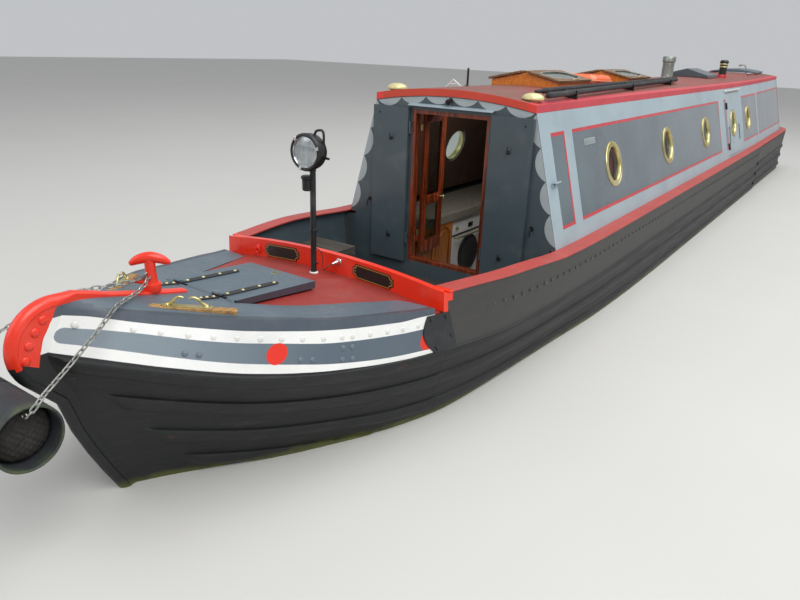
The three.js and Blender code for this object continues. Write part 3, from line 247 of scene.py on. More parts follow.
# A turned form that is open in the middle
def turned_ring(profile, sides, at):
    rings = [hoop(r, z, sides, at) for r, z in profile]
    return skin([*rings, rings[0]], True, False)


def boxed(x0, x1, y0, y1, z0, z1, at=Matrix()):
    return skin([[at @ V(x, y, z) for x, y in ((x0, y0), (x1, y0), (x1, y1), (x0, y1))] for z in (z0, z1)])


# A smooth route through points
def route(points, count=8, bend=0.5):
    pts = [Vector(p) for p in points]
    pts = [2 * pts[0] - pts[1], *pts, 2 * pts[-1] - pts[-2]]
    line = []
    for a, b, c, d in zip(pts, pts[1:], pts[2:], pts[3:]):
        ta, tb = (c - a) * bend, (d - b) * bend
        line += [b * (2 * t ** 3 - 3 * t * t + 1) + ta * (t ** 3 - 2 * t * t + t) + c * (3 * t * t - 2 * t ** 3)
                 + tb * (t ** 3 - t * t) for t in steps(0, 1, count)[:-1]]
    return [*line, pts[-2]]


def tube(line, radius, sides=12):
    rings, side, last = [], None, len(line) - 1
    for i, p in enumerate(line):
        along = (line[min(i + 1, last)] - line[max(i - 1, 0)]).normalized()
        side = along.orthogonal() if side is None else side
        side = (side - along * side.dot(along)).normalized()
        other = along.cross(side)
        r = radius(i / last) if callable(radius) else radius
        rings.append([p + (side * cos(a) + other * sin(a)) * r for a in angles(sides)])
    return skin(rings)


def rod(a, b, radius, sides=16):
    return tube([Vector(a), Vector(b)], radius, sides)


# Sleeves with rounded ends, such as poles, studs and handles
def rounded(line, radius, sides=16):
    size_at = radius if callable(radius) else lambda t: radius
    line = [Vector(p) for p in line]
    first, last = (line[0] - line[1]).normalized(), (line[-1] - line[-2]).normalized()
    r0, r1, turn = size_at(0), size_at(1), steps(0, pi / 2, 5)[:-1]
    full = [*[line[0] + first * r0 * 0.8 * cos(a) for a in turn], *line,
            *[line[-1] + last * r1 * 0.8 * cos(a) for a in reversed(turn)]]
    size = [*[max(0.4, r0 * sin(a)) for a in turn], *[size_at(t) for t in steps(0, 1, len(line) - 1)],
            *[max(0.4, r1 * sin(a)) for a in reversed(turn)]]
    return tube(full, lambda t: size[round(t * (len(size) - 1))], sides)


# A tube that closes on itself
def closed_tube(line, radius, sides=8, normal=None):
    n = len(line)
    normal = normal or (line[n // 3] - line[0]).cross(line[2 * n // 3] - line[0]).normalized()
    rings = []
    for i in range(n + 1):
        along = (line[(i + 1) % n] - line[(i - 1) % n]).normalized()
        out = along.cross(normal).normalized()
        rings.append([line[i % n] + (out * cos(a) + normal * sin(a)) * radius for a in angles(sides)])
    return skin(rings, True, False)


# A plate with holes: outlines are (u, v) lists, place maps (u, v, height) to a point
def plate(outline, place, low, high, holes=()):
    mesh, edges = bmesh.new(), []
    for loop in (outline, *holes):
        verts = [mesh.verts.new((u, v, 0)) for u, v in loop]
        edges += [mesh.edges.new(pair) for pair in zip(verts, verts[1:] + verts[:1])]
    bmesh.ops.triangle_fill(mesh, edges=edges, use_beauty=True, use_dissolve=False)
    mesh.verts.index_update()
    flat, count = [tuple(v.co) for v in mesh.verts], len(mesh.verts)
    tops = [tuple(v.index for v in f.verts) for f in mesh.faces]
    rims = [[v.index for v in e.verts] for e in mesh.edges if e.is_boundary]
    mesh.free()
    faces = tops + [tuple(i + count for i in reversed(f)) for f in tops]
    faces += [(a, b, b + count, a + count) for a, b in rims]
    return [place(u, v, h) for h in (high, low) for u, v, _ in flat], faces


# Places for plates: on a wall across the boat, or on a frame
def across(x):
    return lambda y, z, h: V(x + h, y, z)


def onto(at):
    return lambda u, v, h: at @ V(u, v, h)


def rectangle(u0, u1, v0, v1, step=400):
    corners, line = [(u0, v0), (u1, v0), (u1, v1), (u0, v1)], []
    for (a, b), (c, d) in zip(corners, corners[1:] + corners[:1]):
        n = max(1, int(hypot(c - a, d - b) / step))
        line += [(lerp(a, c, i / n), lerp(b, d, i / n)) for i in range(n)]
    return line


def rounded_rectangle(u0, u1, v0, v1, r, sides=5):
    return [(cu + r * cos((a + i / sides) * pi / 2), cv + r * sin((a + i / sides) * pi / 2))
            for cu, cv, a in ((u1 - r, v1 - r, 0), (u0 + r, v1 - r, 1), (u0 + r, v0 + r, 2), (u1 - r, v0 + r, 3))
            for i in range(sides + 1)]


def many(*forms):
    points, faces = [], []
    for p, f in forms:
        base = len(points)
        points += p
        faces += [tuple(i + base for i in face) for face in f]
    return points, faces


def moved(form, at):
    return [at @ p for p in form[0]], form[1]


def flip(p):
    return V(p.x, -p.y, p.z)


def mirrored(form):
    return [flip(p) for p in form[0]], [tuple(reversed(f)) for f in form[1]]


def both(form):
    return many(form, mirrored(form))


def opposite(form, side):
    return form if side > 0 else mirrored(form)


# A frame at a point whose z axis, and as nearly as it can its x axis, point as given
def axes(at, x=None, z=(0, 0, 1)):
    z = Vector(z).normalized()
    y = z.cross(Vector(x or z.orthogonal())).normalized()
    return shift(at) @ Matrix((y.cross(z), y, z)).transposed().to_4x4()


FORWARD, TO_PORT = {"x": (0, 1, 0), "z": (1, 0, 0)}, {"x": (1, 0, 0), "z": (0, 1, 0)}


def dome(at, out, radius, height, sides=10):
    arc = [(radius * cos(a), height * sin(a)) for a in (0, 0.45, 0.9, 1.3)]
    return turned([(radius, -1.5), *arc, (0, height)], sides, axes(at, z=out))


# Objects. Their paints are names of materials, parted by spaces; M holds the materials.
M = {}
# The slot name for each paint that has another name; fill_slot looks it up and keeps nothing
SLOTS = {paint: slot for slot, paints in (
    ("hull_black", "bow_paint black_steel"), ("hull_grey", "side_paint side_rivet band_grey"),
    ("cabin_panel", "panel_paint pale scallop"), ("red", "gunwale_paint coach"), ("red_oxide", "brick"),
    ("black", "iron"), ("brass", "brass_dull gold"), ("chrome", "mirror"), ("glass", "lens skyglass"),
    ("rubber", "tyre"), ("pole_cover", "pole"), ("lifebuoy", "orange"), ("fabric", "curtain"), ("floor", "worktop"),
    ("wood", "varnish varnish_up skylight lid_wood oak"), ("worn_wood", "worn driftwood fair_wood"),
) for paint in paints.split()}


# Faces take the material whose test they pass first, from their middle and their normal
def zone(mesh, tests):
    for face in mesh.polygons:
        c, n = face.center, face.normal
        found = (i for i, test in tests if test(c.x * 1000 + ORIGIN_X, c.y * 1000, c.z * 1000, n))
        face.material_index = next(found, 0)


def soften(obj, bevel, sharp):
    obj.data.polygons.foreach_set("use_smooth", [True] * len(obj.data.polygons))
    if not bevel:
        obj.data.set_sharp_from_angle(angle=sharp)
        return
    soft = obj.modifiers.new("bevel", "BEVEL")
    soft.width, soft.segments, soft.limit_method, soft.angle_limit = bevel / 1000, 2, "ANGLE", sharp
    weigh = obj.modifiers.new("weigh", "WEIGHTED_NORMAL")
    weigh.keep_sharp, weigh.weight = True, 60


def new_object(name, form, paints, sharp=0.6, bevel=0, uv=None, zones=()):
    mesh = bpy.data.meshes.new(name)
    mesh.from_pydata([row(p) for p in form[0]], [], form[1])
    if uv:
        layer = mesh.uv_layers.new(name="span")
        for loop in mesh.loops:
            layer.data[loop.index].uv = uv[loop.vertex_index]
    work = bmesh.new()
    work.from_mesh(mesh)
    bmesh.ops.remove_doubles(work, verts=work.verts, dist=2e-5)
    bmesh.ops.recalc_face_normals(work, faces=work.faces)
    work.to_mesh(mesh)
    work.free()
    obj = add(bpy.data.objects.new(name, mesh))
    for paint in paints.split():
        mesh.materials.append(M[paint])
    soften(obj, bevel, sharp)
    if zones:
        zone(mesh, zones)
    return obj


def fill_slot(slot, paints):
    first = paints.split()[0]
    slot or SLOTS.get(first, first)


def piece(name, form, paints, slot=None, body="boat", replaces=None, bevel=0, sharp=0.6, uv=None, zones=()):
    obj = new_object(name, form, paints, sharp, bevel, uv, zones)
    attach(obj, body)
    fill_slot(slot, paints)
    if replaces:
        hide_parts(replaces)
    return obj


def merging():
    tree = bpy.data.node_groups.new("merge", "GeometryNodeTree")
    for way in ("INPUT", "OUTPUT"):
        tree.interface.new_socket("Geometry", in_out=way, socket_type="NodeSocketGeometry")
    start, end = tree.nodes.new("NodeGroupInput"), tree.nodes.new("NodeGroupOutput")
    merge = tree.nodes.new("GeometryNodeMergeByDistance")
    merge.inputs["Distance"].default_value = 5e-5
    tree.links.new(start.outputs[0], merge.inputs["Geometry"])
    tree.links.new(merge.outputs[0], end.inputs[0])
    return tree


MERGE = merging()


# A CAD piece that keeps its own shape: doubled points are merged, edges softened, paint put on
def keep(name, paints, bevel=4, sharp=0.5, slot=None, zones=()):
    obj = NODES[name]
    obj.data.materials.clear()
    for paint in paints.split():
        obj.data.materials.append(M[paint])
    zone(obj.data, zones)
    obj.modifiers.new("merge", "NODES").node_group = MERGE
    soften(obj, bevel, sharp)
    fill_slot(slot, paints)


# Materials: each is a paint or metal whose colour, gloss and surface vary with the place on the boat

def rgb(code):
    part = [int(code[i:i + 2], 16) / 255 for i in (1, 3, 5)]
    return tuple(c / 12.92 if c <= 0.04045 else ((c + 0.055) / 1.055) ** 2.4 for c in part) + (1.0,)


def grey_of(value):
    return value, value, value, 1


class Finish:
    def __init__(self, name):
        material = M[name] = bpy.data.materials.new(name)
        material.use_nodes = True
        self.tree = material.node_tree
        self.shader = self.tree.nodes["Principled BSDF"].inputs
        self.place = self.node("TexCoord").outputs["Object"]

    # A node with its settings, then its inputs as links or values
    def node(self, kind, inputs=None, **settings):
        node = self.tree.nodes.new("ShaderNode" + kind)
        for key, value in settings.items():
            setattr(node, key, value)
        for key, value in (inputs or {}).items():
            self.link(value, node.inputs[key])
        return node

    def link(self, value, socket):
        if hasattr(value, "is_output"):
            self.tree.links.new(value, socket)
        else:
            socket.default_value = rgb(value) if isinstance(value, str) else value

    def math(self, operation, *values):
        return self.node("Math", dict(enumerate(values)), operation=operation).outputs[0]

    def mul(self, a, b):
        return self.math("MULTIPLY", a, b)

    def add(self, a, b):
        return self.math("ADD", a, b)

    def sub(self, a, b):
        return self.math("SUBTRACT", a, b)

    def reach(self, a, b):
        return self.math("SQRT", self.add(self.mul(a, a), self.mul(b, b)))

    def noise(self, scale, detail=4.0, rough=0.55, stretch=None, shift=0.0):
        place = self.place
        if stretch or shift:
            place = self.node("Mapping", {"Vector": place, "Scale": stretch or (1, 1, 1),
                                          "Location": (shift, shift, shift)}).outputs[0]
        return self.node("TexNoise", {"Vector": place, "Scale": scale, "Detail": detail,
                                      "Roughness": rough}).outputs["Fac"]

    # 0 below low and 1 above high, smooth between; low may be above high
    def ramp(self, value, low, high):
        return self.node("MapRange", {"Value": value, "From Min": low, "From Max": high},
                         interpolation_type="SMOOTHSTEP").outputs["Result"]

    def mix(self, share, a, b):
        return self.node("Mix", {"Factor": share, "A": a, "B": b}, data_type="RGBA").outputs["Result"]

    # Patches of another colour, where a noise lies above a level
    def spots(self, colour, other, share, low, high, *noise, **more):
        return self.mix(self.mul(self.ramp(self.noise(*noise, **more), low, high), share), colour, other)

    # A roughness that varies up from its least
    def gloss(self, least, spread, *noise, **more):
        return self.add(self.mul(self.noise(*noise, **more), spread), least)

    def axis(self, name):
        return self.node("SeparateXYZ", {0: self.place}).outputs[name]

    def uv(self):
        node = self.node("SeparateXYZ", {0: self.node("UVMap", uv_map="span").outputs[0]})
        return node.outputs["X"], node.outputs["Y"]

    # Light dust and dark grime in large soft patches
    def wear(self, colour):
        soiled = self.spots(colour, "#3a3631", 0.14, 0.45, 0.75, 2.3, 6)
        return self.spots(soiled, "#cfc9bd", 0.06, 0.5, 0.8, 5.1, 8, shift=4.0)

    def end(self, colour, rough, metal=0.0, bump=None, depth=0.0004, coat=0.0):
        looks = {"Base Color": colour, "Roughness": rough, "Metallic": metal, "Coat Weight": coat,
                 "Coat Roughness": 0.08}
        if bump is not None:
            looks["Normal"] = self.node("Bump", {"Distance": depth, "Strength": 1.0, "Height": bump}).outputs[0]
        for key, value in looks.items():
            self.link(value, self.shader[key])


# A finish made by its own function, under the function's name
def finish(make):
    f = Finish(make.__name__)
    f.end(*make(f))
    return make


def plain(name, base, other, rough=0.5, metal=0.0, scale=9.0, grain=300, depth=0.0003, coat=0.0, speck=None,
          grime=True):
    f = Finish(name)
    colour = f.mix(f.noise(scale, 7), base, other)
    if speck:
        colour = f.mix(f.ramp(f.noise(140, 2, shift=2.0), 0.68, 0.74), colour, speck)
    if grime:
        colour = f.wear(colour)
    f.end(colour, f.gloss(rough - 0.12, 0.24, scale * 3, 5, shift=7.0), metal, f.noise(grain, 3), depth, coat)


def wood(name, light, dark, rough=0.35, along="X", coat=0.3, fine_share=0.35):
    f = Finish(name)
    stretch = {"X": (0.6, 14, 14), "Y": (14, 0.6, 14), "Z": (14, 14, 0.6)}[along]
    fine = f.noise(24.0, 6, 0.6, stretch, 3.0)
    colour = f.mix(f.ramp(f.noise(5.0, 9, 0.62, stretch), 0.35, 0.66), dark, light)
    colour = f.mix(f.mul(f.ramp(fine, 0.52, 0.7), fine_share), colour, dark)
    f.end(colour, f.add(f.mul(fine, 0.2), rough - 0.1), 0.0, fine, 0.0004, coat)


def metal(name, base, other, rough=0.28):
    f = Finish(name)
    colour = f.mix(f.ramp(f.noise(6.0, 8), 0.35, 0.7), base, other)
    f.end(colour, f.gloss(rough - 0.12, 0.24, 24.0, 6, 0.6, None, 5.0), 1.0, f.noise(220, 3, 0.5), 0.00015)


LONG = (0.5, 3.0, 9.0)


# Blacking with scuffs, pale rusty scratches and weed just over the waterline
def hull_black(f):
    base = f.mix(f.noise(6, 8), "#0f1011", "#1b1c1e")
    base = f.spots(base, "#3d3b39", 0.4, 0.56, 0.72, 3.0, 9, 0.65, LONG)
    base = f.spots(base, "#8d7d6e", 0.6, 0.66, 0.7, 7.0, 10, 0.72, (0.7, 2.0, 16.0), 3.0)
    base = f.spots(base, "#5b3420", 0.5, 0.67, 0.75, 9.0, 6, 0.6, None, 8.0)
    wet = f.add(f.axis("Z"), f.mul(f.noise(14, 6, 0.6, (0.6, 1, 1)), 0.07))
    base = f.mix(f.mul(f.ramp(wet, 0.665, 0.615), 0.8), base, "#5d6226")
    return base, f.mix(f.noise(5, 6, 0.6, LONG, 1.0), grey_of(0.38), grey_of(0.72))


# Bow side: black below the upper strake, painted bands above it. The span map gives the distance aft of the stem
# in metres, and the height as a share of the side above the strake.
GREY_MIDDLE, DISC_HALF, DISCS = 0.35, 0.19, ((0.919, 0.049), (1.842, 0.071))


@finish
def bow_paint(f):
    back, share = f.uv()
    share = f.add(share, f.mul(f.sub(f.noise(9.0, 3), 0.5), 0.006))
    white = f.wear(f.mix(f.noise(11, 7), "#f2f2ee", "#e4e5e2"))
    grey = f.mix(f.ramp(back, 0.2, 1.3), f.mix(f.noise(7, 6), "#79868f", "#848f97"),
                 f.mix(f.noise(7, 6), "#515e6a", "#5b6873"))
    # The grey band ends in a half round at the stem
    end = f.mul(f.math("MAXIMUM", f.sub(0.033, back), 0.0), 30.0)
    off = f.mul(f.sub(share, GREY_MIDDLE), 5.56)
    colour = f.mix(f.ramp(f.reach(end, off), 1.03, 0.97), white, grey)
    for centre, radius in DISCS:
        along = f.math("DIVIDE", f.sub(back, centre), radius)
        up = f.math("DIVIDE", f.sub(share, GREY_MIDDLE), DISC_HALF)
        colour = f.mix(f.ramp(f.reach(along, up), 1.02, 0.98), colour, "#e02f1d")
    slate = f.wear(f.mix(f.noise(13, 7), "#464e59", "#505a65"))
    colour = f.mix(f.ramp(share, 0.775, 0.785), colour, slate)
    black, gloss = hull_black(f)
    above = f.ramp(f.sub(share, f.mul(f.ramp(back, 1.75, 1.3), 0.036)), -0.004, 0.004)
    return f.mix(above, black, colour), f.mix(above, gloss, grey_of(0.42)), 0.0, f.noise(60, 5), 0.0008


@finish
def side_paint(f):
    black, gloss = hull_black(f)
    grey = f.spots(f.mix(f.noise(8, 8), "#353534", "#41403e"), "#4c4845", 0.4, 0.54, 0.75, 3.0, 9, 0.65, LONG, 6.0)
    above = f.ramp(f.uv()[1], -0.02, 0.03)
    return f.mix(above, black, grey), f.mix(above, gloss, grey_of(0.6)), 0.0, f.noise(50, 6), 0.001


@finish
def black_steel(f):
    return (*hull_black(f), 0.0, f.noise(60, 5), 0.0008)


# Roof: brick red, weathered to brown, with a brighter painted edge and front
@finish
def roof_paint(f):
    top = f.mix(f.ramp(f.noise(1.6, 8), 0.35, 0.7), "#8f3f38", "#79483b")
    top = f.spots(top, "#74523f", 0.5, 0.5, 0.72, 4.0, 9, 0.7, None, 5.0)
    edge = f.mix(f.noise(3, 6), "#bd3040", "#c8464f")
    colour = f.wear(f.mix(f.ramp(f.math("ABSOLUTE", f.axis("Y")), 0.596, 0.6), top, edge))
    front = row((8, 0, 0)).x
    fore = f.ramp(f.axis("X"), front - 0.004, front + 0.003)
    colour = f.mix(fore, colour, f.mix(f.noise(6, 6), "#e23512", "#e84420"))
    return colour, f.gloss(0.38, 0.3, 12, 6), 0.0, f.noise(90, 5), 0.0007


@finish
def gunwale_paint(f):
    faded = f.spots(f.mix(f.noise(4, 7), "#a93a35", "#b54b44"), "#97504a", 0.4, 0.5, 0.75, 6, 8, shift=2.0)
    return f.wear(faded), f.gloss(0.35, 0.3, 10, 5), 0.0, f.noise(120, 4), 0.0005


# The glossy dark panels carry a painted reflection: broad darker and lighter patches, and lighter upright streaks
@finish
def panel_paint(f):
    base = f.mix(f.ramp(f.noise(1.3, 5), 0.3, 0.7), "#55646b", "#465259")
    base = f.spots(base, "#76848b", 0.25, 0.5, 0.8, 2.2, 7, 0.6, (1.0, 1.0, 0.25), 6.0)
    return base, f.gloss(0.12, 0.12, 8, 6), 0.0, f.noise(3.0, 4), 0.003, 0.4


@finish
def glass(f):
    f.link(1.0, f.shader["Transmission Weight"])
    f.link(1.1, f.shader["IOR"])
    return f.mix(f.noise(3, 3), "#c9d2d0", "#bac5c2"), f.gloss(0.02, 0.06, 12, 4)


# Skylight lid pane, opaque: its dark green is a painted shade that stands for the dark inside seen through the glass
@finish
def skyglass(f):
    return f.mix(f.noise(7, 4), "#4d5c4a", "#20281f"), f.gloss(0.03, 0.08, 20, 3), 0.0, f.noise(6, 3), 0.004


@finish
def lens(f):
    f.link(0.95, f.shader["Transmission Weight"])
    colour = f.mix(f.ramp(f.noise(60, 2, 0.5, (1, 1, 0.1)), 0.4, 0.6), "#eef2f4", "#d4dade")
    return colour, f.gloss(0.04, 0.06, 20, 3), 0.3, f.noise(90, 2, 0.5, (1, 1, 0.05)), 0.001


@finish
def tyre(f):
    edge = f.ramp(f.math("ABSOLUTE", f.axis("Y")), 0.255, 0.3)
    base = f.spots(f.mix(f.noise(14, 7), "#33363a", "#24272a"), "#4f5550", 0.35, 0.45, 0.7, 7, 8, 0.7, None, 3.0)
    green = f.mul(edge, f.ramp(f.noise(10, 6, 0.6, None, 9.0), 0.4, 0.6))
    return f.mix(f.mul(green, 0.6), base, "#4e5a33"), f.gloss(0.5, 0.3, 20, 5), 0.0, f.noise(70, 5), 0.0012


plain("slate", "#5b6a74", "#4e5c66", 0.42, speck="#9aa5ab")
plain("slate_edge", "#434c56", "#3b444d", 0.4)
plain("slate_dark", "#3f4b50", "#47545a", 0.36, scale=3, coat=0.15)
plain("purple", "#4a4450", "#3f3a45", 0.55)
plain("pale", "#9fb0b7", "#90a1a9", 0.34, scale=2, coat=0.1)
plain("scallop", "#a9b2b4", "#9ba5a8", 0.4)
plain("red", "#e4290c", "#ea3414", 0.33, scale=4, coat=0.2)
plain("brick", "#9c352d", "#872c26", 0.5, grain=180, depth=0.0005)
plain("coach", "#c4202c", "#b31c27", 0.35, coat=0.2)
plain("black", "#0e0f10", "#191a1c", 0.38)
plain("white", "#e6e5e0", "#d5d5d0", 0.35)
plain("floor", "#3b3936", "#2d2b29", 0.85, grain=60, depth=0.002)
plain("rubber", "#232423", "#303230", 0.75, grain=90, depth=0.001)
plain("pole", "#1f2123", "#2b2d30", 0.75, grain=70, depth=0.001)
plain("orange", "#e2592f", "#ea7548", 0.6, grain=120, depth=0.001)
plain("salmon", "#e08a68", "#e89c7e", 0.7)
plain("rope", "#161514", "#34312d", 0.85, scale=26, grain=240, depth=0.0015)
plain("fabric", "#8a1f1a", "#a02a22", 0.9, grain=400, depth=0.001)
plain("gold", "#c6a24a", "#b08a38", 0.4, metal=0.6)
plain("stern_grey", "#353534", "#41403e", 0.55, grain=50, depth=0.001)
plain("mirror", "#ffffff", "#e6eaec", 0.3, metal=0.35, scale=30, grime=False)
plain("brass_dull", "#e2d9a8", "#cfc48a", 0.42, metal=0.35)
plain("iron", "#17191c", "#24282b", 0.5, grain=120, depth=0.0008)
plain("worktop", "#6a675c", "#827d70", 0.3, scale=14)
plain("lining", "#4a3325", "#3b281d", 0.6)
plain("curtain", "#5c625a", "#6a6f63", 0.9, grain=300)
plain("side_rivet", "#3b3b3a", "#474644", 0.42)
plain("band_grey", "#66727d", "#5c6872", 0.4)
plain("stage", "#c9c8c4", "#c2c1bd", 0.7, scale=0.6, grime=False)
metal("brass", "#dcd3a4", "#b5a96c", 0.36)
metal("steel", "#d0d3d6", "#b4b8bb", 0.22)
metal("chrome", "#d9dbdd", "#c8cbce", 0.14)
metal("zinc", "#b4b7b2", "#8f928c", 0.42)
metal("bronze", "#9a7434", "#856027", 0.34)
wood("varnish", "#b4652a", "#6b2f12", 0.28)
wood("varnish_up", "#8e3d1c", "#431a0d", 0.26, "Z")
wood("skylight", "#dd8320", "#bd6411", 0.3, fine_share=0.12)
wood("lid_wood", "#8a6844", "#5d4129", 0.5, coat=0.0)
wood("oak", "#b9742f", "#8a4d1a", 0.4, "Z", 0.15)
wood("worn", "#8c7858", "#4e4335", 0.8, coat=0.0)
wood("driftwood", "#57524a", "#2f2c28", 0.85, "Y", 0.0)
wood("fair_wood", "#b98f55", "#8b683a", 0.6, coat=0.0)

# Hull

# Painted bands of the bow, columns: x, share of the height where the grey begins, where it ends, and where the
# slate begins. In the span map these shares are always BAND_MARKS.
BANDS = [(1380, 0.11, 0.60, 0.87), (1535, 0.10, 0.585, 0.86), (1710, 0.105, 0.56, 0.805), (2070, 0.155, 0.56, 0.806),
         (2370, 0.205, 0.574, 0.787), (2650, 0.231, 0.586, 0.804), (2850, 0.261, 0.622, 0.82),
         (3030, 0.278, 0.619, 0.88)]
BAND_MARKS = (0, 0.17, 0.53, 0.78, 1)
BAND_AT = [curve(BANDS, column) for column in (1, 2, 3)]
DECK_MARK, BOW_RINGS = 1.3, 64


def band_shares(x):
    return (0, *[at(x) for at in BAND_AT], 1)


# The dark band round the foredeck, as a share of the half-breadth
def band_inner(half):
    return max(0.88, 1 - 38 / max(half, 1))


# The bow's skin: rings from the dash to the stem, each up one side, over the deck and down the other
def bow_form():
    rings, spans = [], []
    for share in (1 - (1 - t) ** 1.35 for t in steps(0, 1, BOW_RINGS)):
        side = [bow_point(line, share) for line in LINES]
        side[-1].z -= CANT_DROP(side[-1].x)
        strake, edge = side[-2], side[-1]
        side[-1:-1] = [strake.lerp(edge, mark) for mark in band_shares(strake.x)[1:4]]
        crown = deck_crown(edge.x)
        over = [V(edge.x, edge.y * t, edge.z + crown * (1 - t * t))
                for t in (band_inner(edge.y), 0.7, 0.55, 0.4, 0.25, 0.1)]
        port = side + over
        rings.append([*port, V(edge.x, 0, edge.z + crown), *[flip(p) for p in reversed(port)]])
        level = [(p.z - strake.z) / (edge.z - strake.z) for p in side[:-5]]
        level += [*BAND_MARKS, *[DECK_MARK] * len(over)]
        spans.append([*level, DECK_MARK, *reversed(level)])
    n, last = len(rings[0]), len(rings) - 1
    back = [[0.0] * n for _ in rings]
    for i in reversed(range(last)):
        back[i] = [back[i + 1][j] + (rings[i][j] - rings[i + 1][j]).length / 1000 for j in range(n)]
    points, faces = skin(rings, True, False)
    for base in (0, last * n):
        for j in range(n // 2):
            quad = tuple(dict.fromkeys((base + j, base + j + 1, base + n - 2 - j, base + n - 1 - j)))
            faces.append(tuple(reversed(quad)) if base else quad)
    return (points, faces), [(back[i][j], spans[i][j]) for i in range(len(rings)) for j in range(n)]


# Takes the tools out of an object's mesh for good
def carve(obj, *tools):
    others = [m.name for m in obj.modifiers]
    for name in others:
        obj.modifiers[name].show_viewport = False
    cutters = [new_object("cutter" + str(i), form, "purple") for i, form in enumerate(tools)]
    for cutter in cutters:
        cut = obj.modifiers.new("cut", "BOOLEAN")
        cut.operation, cut.solver, cut.object = "DIFFERENCE", "EXACT", cutter
    graph = bpy.context.evaluated_depsgraph_get()
    obj.data = bpy.data.meshes.new_from_object(obj.evaluated_get(graph), depsgraph=graph)
    for modifier in [m for m in obj.modifiers if m.type == "BOOLEAN"]:
        obj.modifiers.remove(modifier)
    for name in others:
        obj.modifiers[name].show_viewport = True
    for cutter in cutters:
        bpy.data.objects.remove(cutter)


# The space over the sunk foredeck; abaft the cants it is as broad as the boat
def recess_form():
    reach, inner = 862, recess_half(1500)
    plan = [(1330, reach), (1438, reach)]
    for a in steps(0, pi / 2, 8):
        plan.append((1440 + 60 * (1 - sqrt(1 - sin(a) ** 2)), reach - sin(a) * (reach - inner)))
    rings = []
    for x, half in plan + [(x, recess_half(x)) for x in (1700, 2000, 2320)]:
        line = steps(half, -half, 12)
        rings.append([V(x, y, foredeck_z(x, y) - 12) for y in line] + [V(x, y, 1700) for y in reversed(line)])
    return skin(rings)


LOCKER = {"aft": 1745, "fore": 2304}
LOCKER_PIN_X = 2318


def bow():
    form, uv = bow_form()
    obj = piece("bow_dressed", form, "bow_paint slate purple slate_edge", replaces="bow", sharp=0.5, uv=uv, bevel=5)
    carve(obj, recess_form(), boxed(LOCKER["aft"] + 50, LOCKER["fore"] - 60, -200, 200, 1020, 1700))
    obj.data.polygons.foreach_set("use_smooth", [True] * len(obj.data.polygons))

    def in_recess(x, y, z, n):
        return x < 2321 and abs(y) < recess_half(x) + 2 and z < deck_z(x, y) - 6 or x < 1501 and n.x < -0.3

    def on_deck(x, y, z, n):
        return n.z > 0.7 and z > deck_z(x, y) - 30

    def edge_band(x, y, z, n):
        half = deck_edge(x).y
        return on_deck(x, y, z, n) and abs(y) > half * lerp(band_inner(half), 1, 0.25)
    zone(obj.data, [(2, in_recess), (3, edge_band), (1, on_deck)])


def side_top(x):
    return deck_edge(x) + V(0, 0, FIT + GUNWALE - LIP + RISE(x))


END_BLOCK = {"aft": 1310, "step": 1348, "low": 1250, "high": 1318}


# The side's own rows between strake and gunwale are where the red end of the dash is painted on it
def hull_side(side, word):
    rings, uv = [], []
    for x in sorted([*steps(SWIM_X + FIT, DASH_X - FIT, 72), END_BLOCK["aft"], END_BLOCK["step"]]):
        outer = [side_point(line, x) for line in LINES[:-1]]
        strake, top = outer[-1], side_top(x)
        outer += [strake.lerp(top, 0.656), strake.lerp(top, 0.858), top]
        ring = [*outer, V(x, top.y - HULL_WALL, top.z), V(x, outer[0].y - HULL_WALL, PLATE)]
        rings.append([V(p.x, side * p.y, p.z) for p in ring])
        uv += [(x / 1000, (p.z - strake.z) / (top.z - strake.z)) for p in ring]

    def red_end(x, y, z, n):
        return n.y * side > -0.3 and (x > 1320 and z > END_BLOCK["high"] or x > 1355 and z > END_BLOCK["low"] - 10)
    piece("hull_skin_" + word, skin(rings), "side_paint red slate_dark", replaces="hull_side_" + word, sharp=0.5,
          uv=uv, bevel=3, zones=[(1, red_end), (2, lambda x, y, z, n: n.y * side < -0.5 and x > 0)])


# Red plates over the ends of the dash
def dash_ends():
    strake, top = side_point(STRAKE_LINE, DASH_X), side_top(DASH_X)
    foot = strake.lerp(top, (END_BLOCK["low"] - strake.z) / (top.z - strake.z))
    high, inner = top.z + LIP - 1, top.y - HULL_WALL - 45
    outline = [(foot.y, foot.z), (top.y + 3, high), (inner, high + 6), (inner, foot.z)]
    piece("dash_ends", both(plate(outline, across(DASH_X), -4, 1)), "red")


def gunwale(side, word):
    forms = []
    fore = DASH_X - 40 - FIT
    for stations, inner in ((steps(CABIN_AFT + FIT, -1, 60), lambda x: CABIN_BASE_Y - WALL + 2),
                            ([*steps(-1, fore, 24)[:23], END_BLOCK["aft"], fore], lambda x: deck_edge(x).y - RIM)):
        rings = []
        for x in stations:
            p = side_top(x)
            rings.append([V(x, p.y + 5, p.z + 0.3), V(x, p.y + 5, p.z + LIP), V(x, inner(x), p.z + LIP),
                          V(x, inner(x), p.z + 0.3)])
        forms.append(skin(rings))
    piece("gunwale_cap_" + word, opposite(many(*forms), side), "gunwale_paint red", replaces="gunwale_" + word,
          bevel=3, zones=[(1, lambda x, y, z, n: x > END_BLOCK["aft"])])


# Domed rivets in a row under the gunwale
def side_rivets():
    edges = [deck_edge(1255 - 100 * i) for i in range(94)]
    forms = [dome(edge - V(0, 1.5, 98), (0, 1, 0.03), 12, 5.5, 8) for edge in edges]
    piece("side_rivets", both(many(*forms)), "side_rivet")


def bow_at(line, x):
    return bow_point(line, clamp((x - DASH_X) / (stem_x(line[1]) - DASH_X)))


def upper_edges(x):
    high = bow_at(DECK_LINE, x)
    return bow_at(STRAKE_LINE, x), high - V(0, 0, CANT_DROP(high.x))


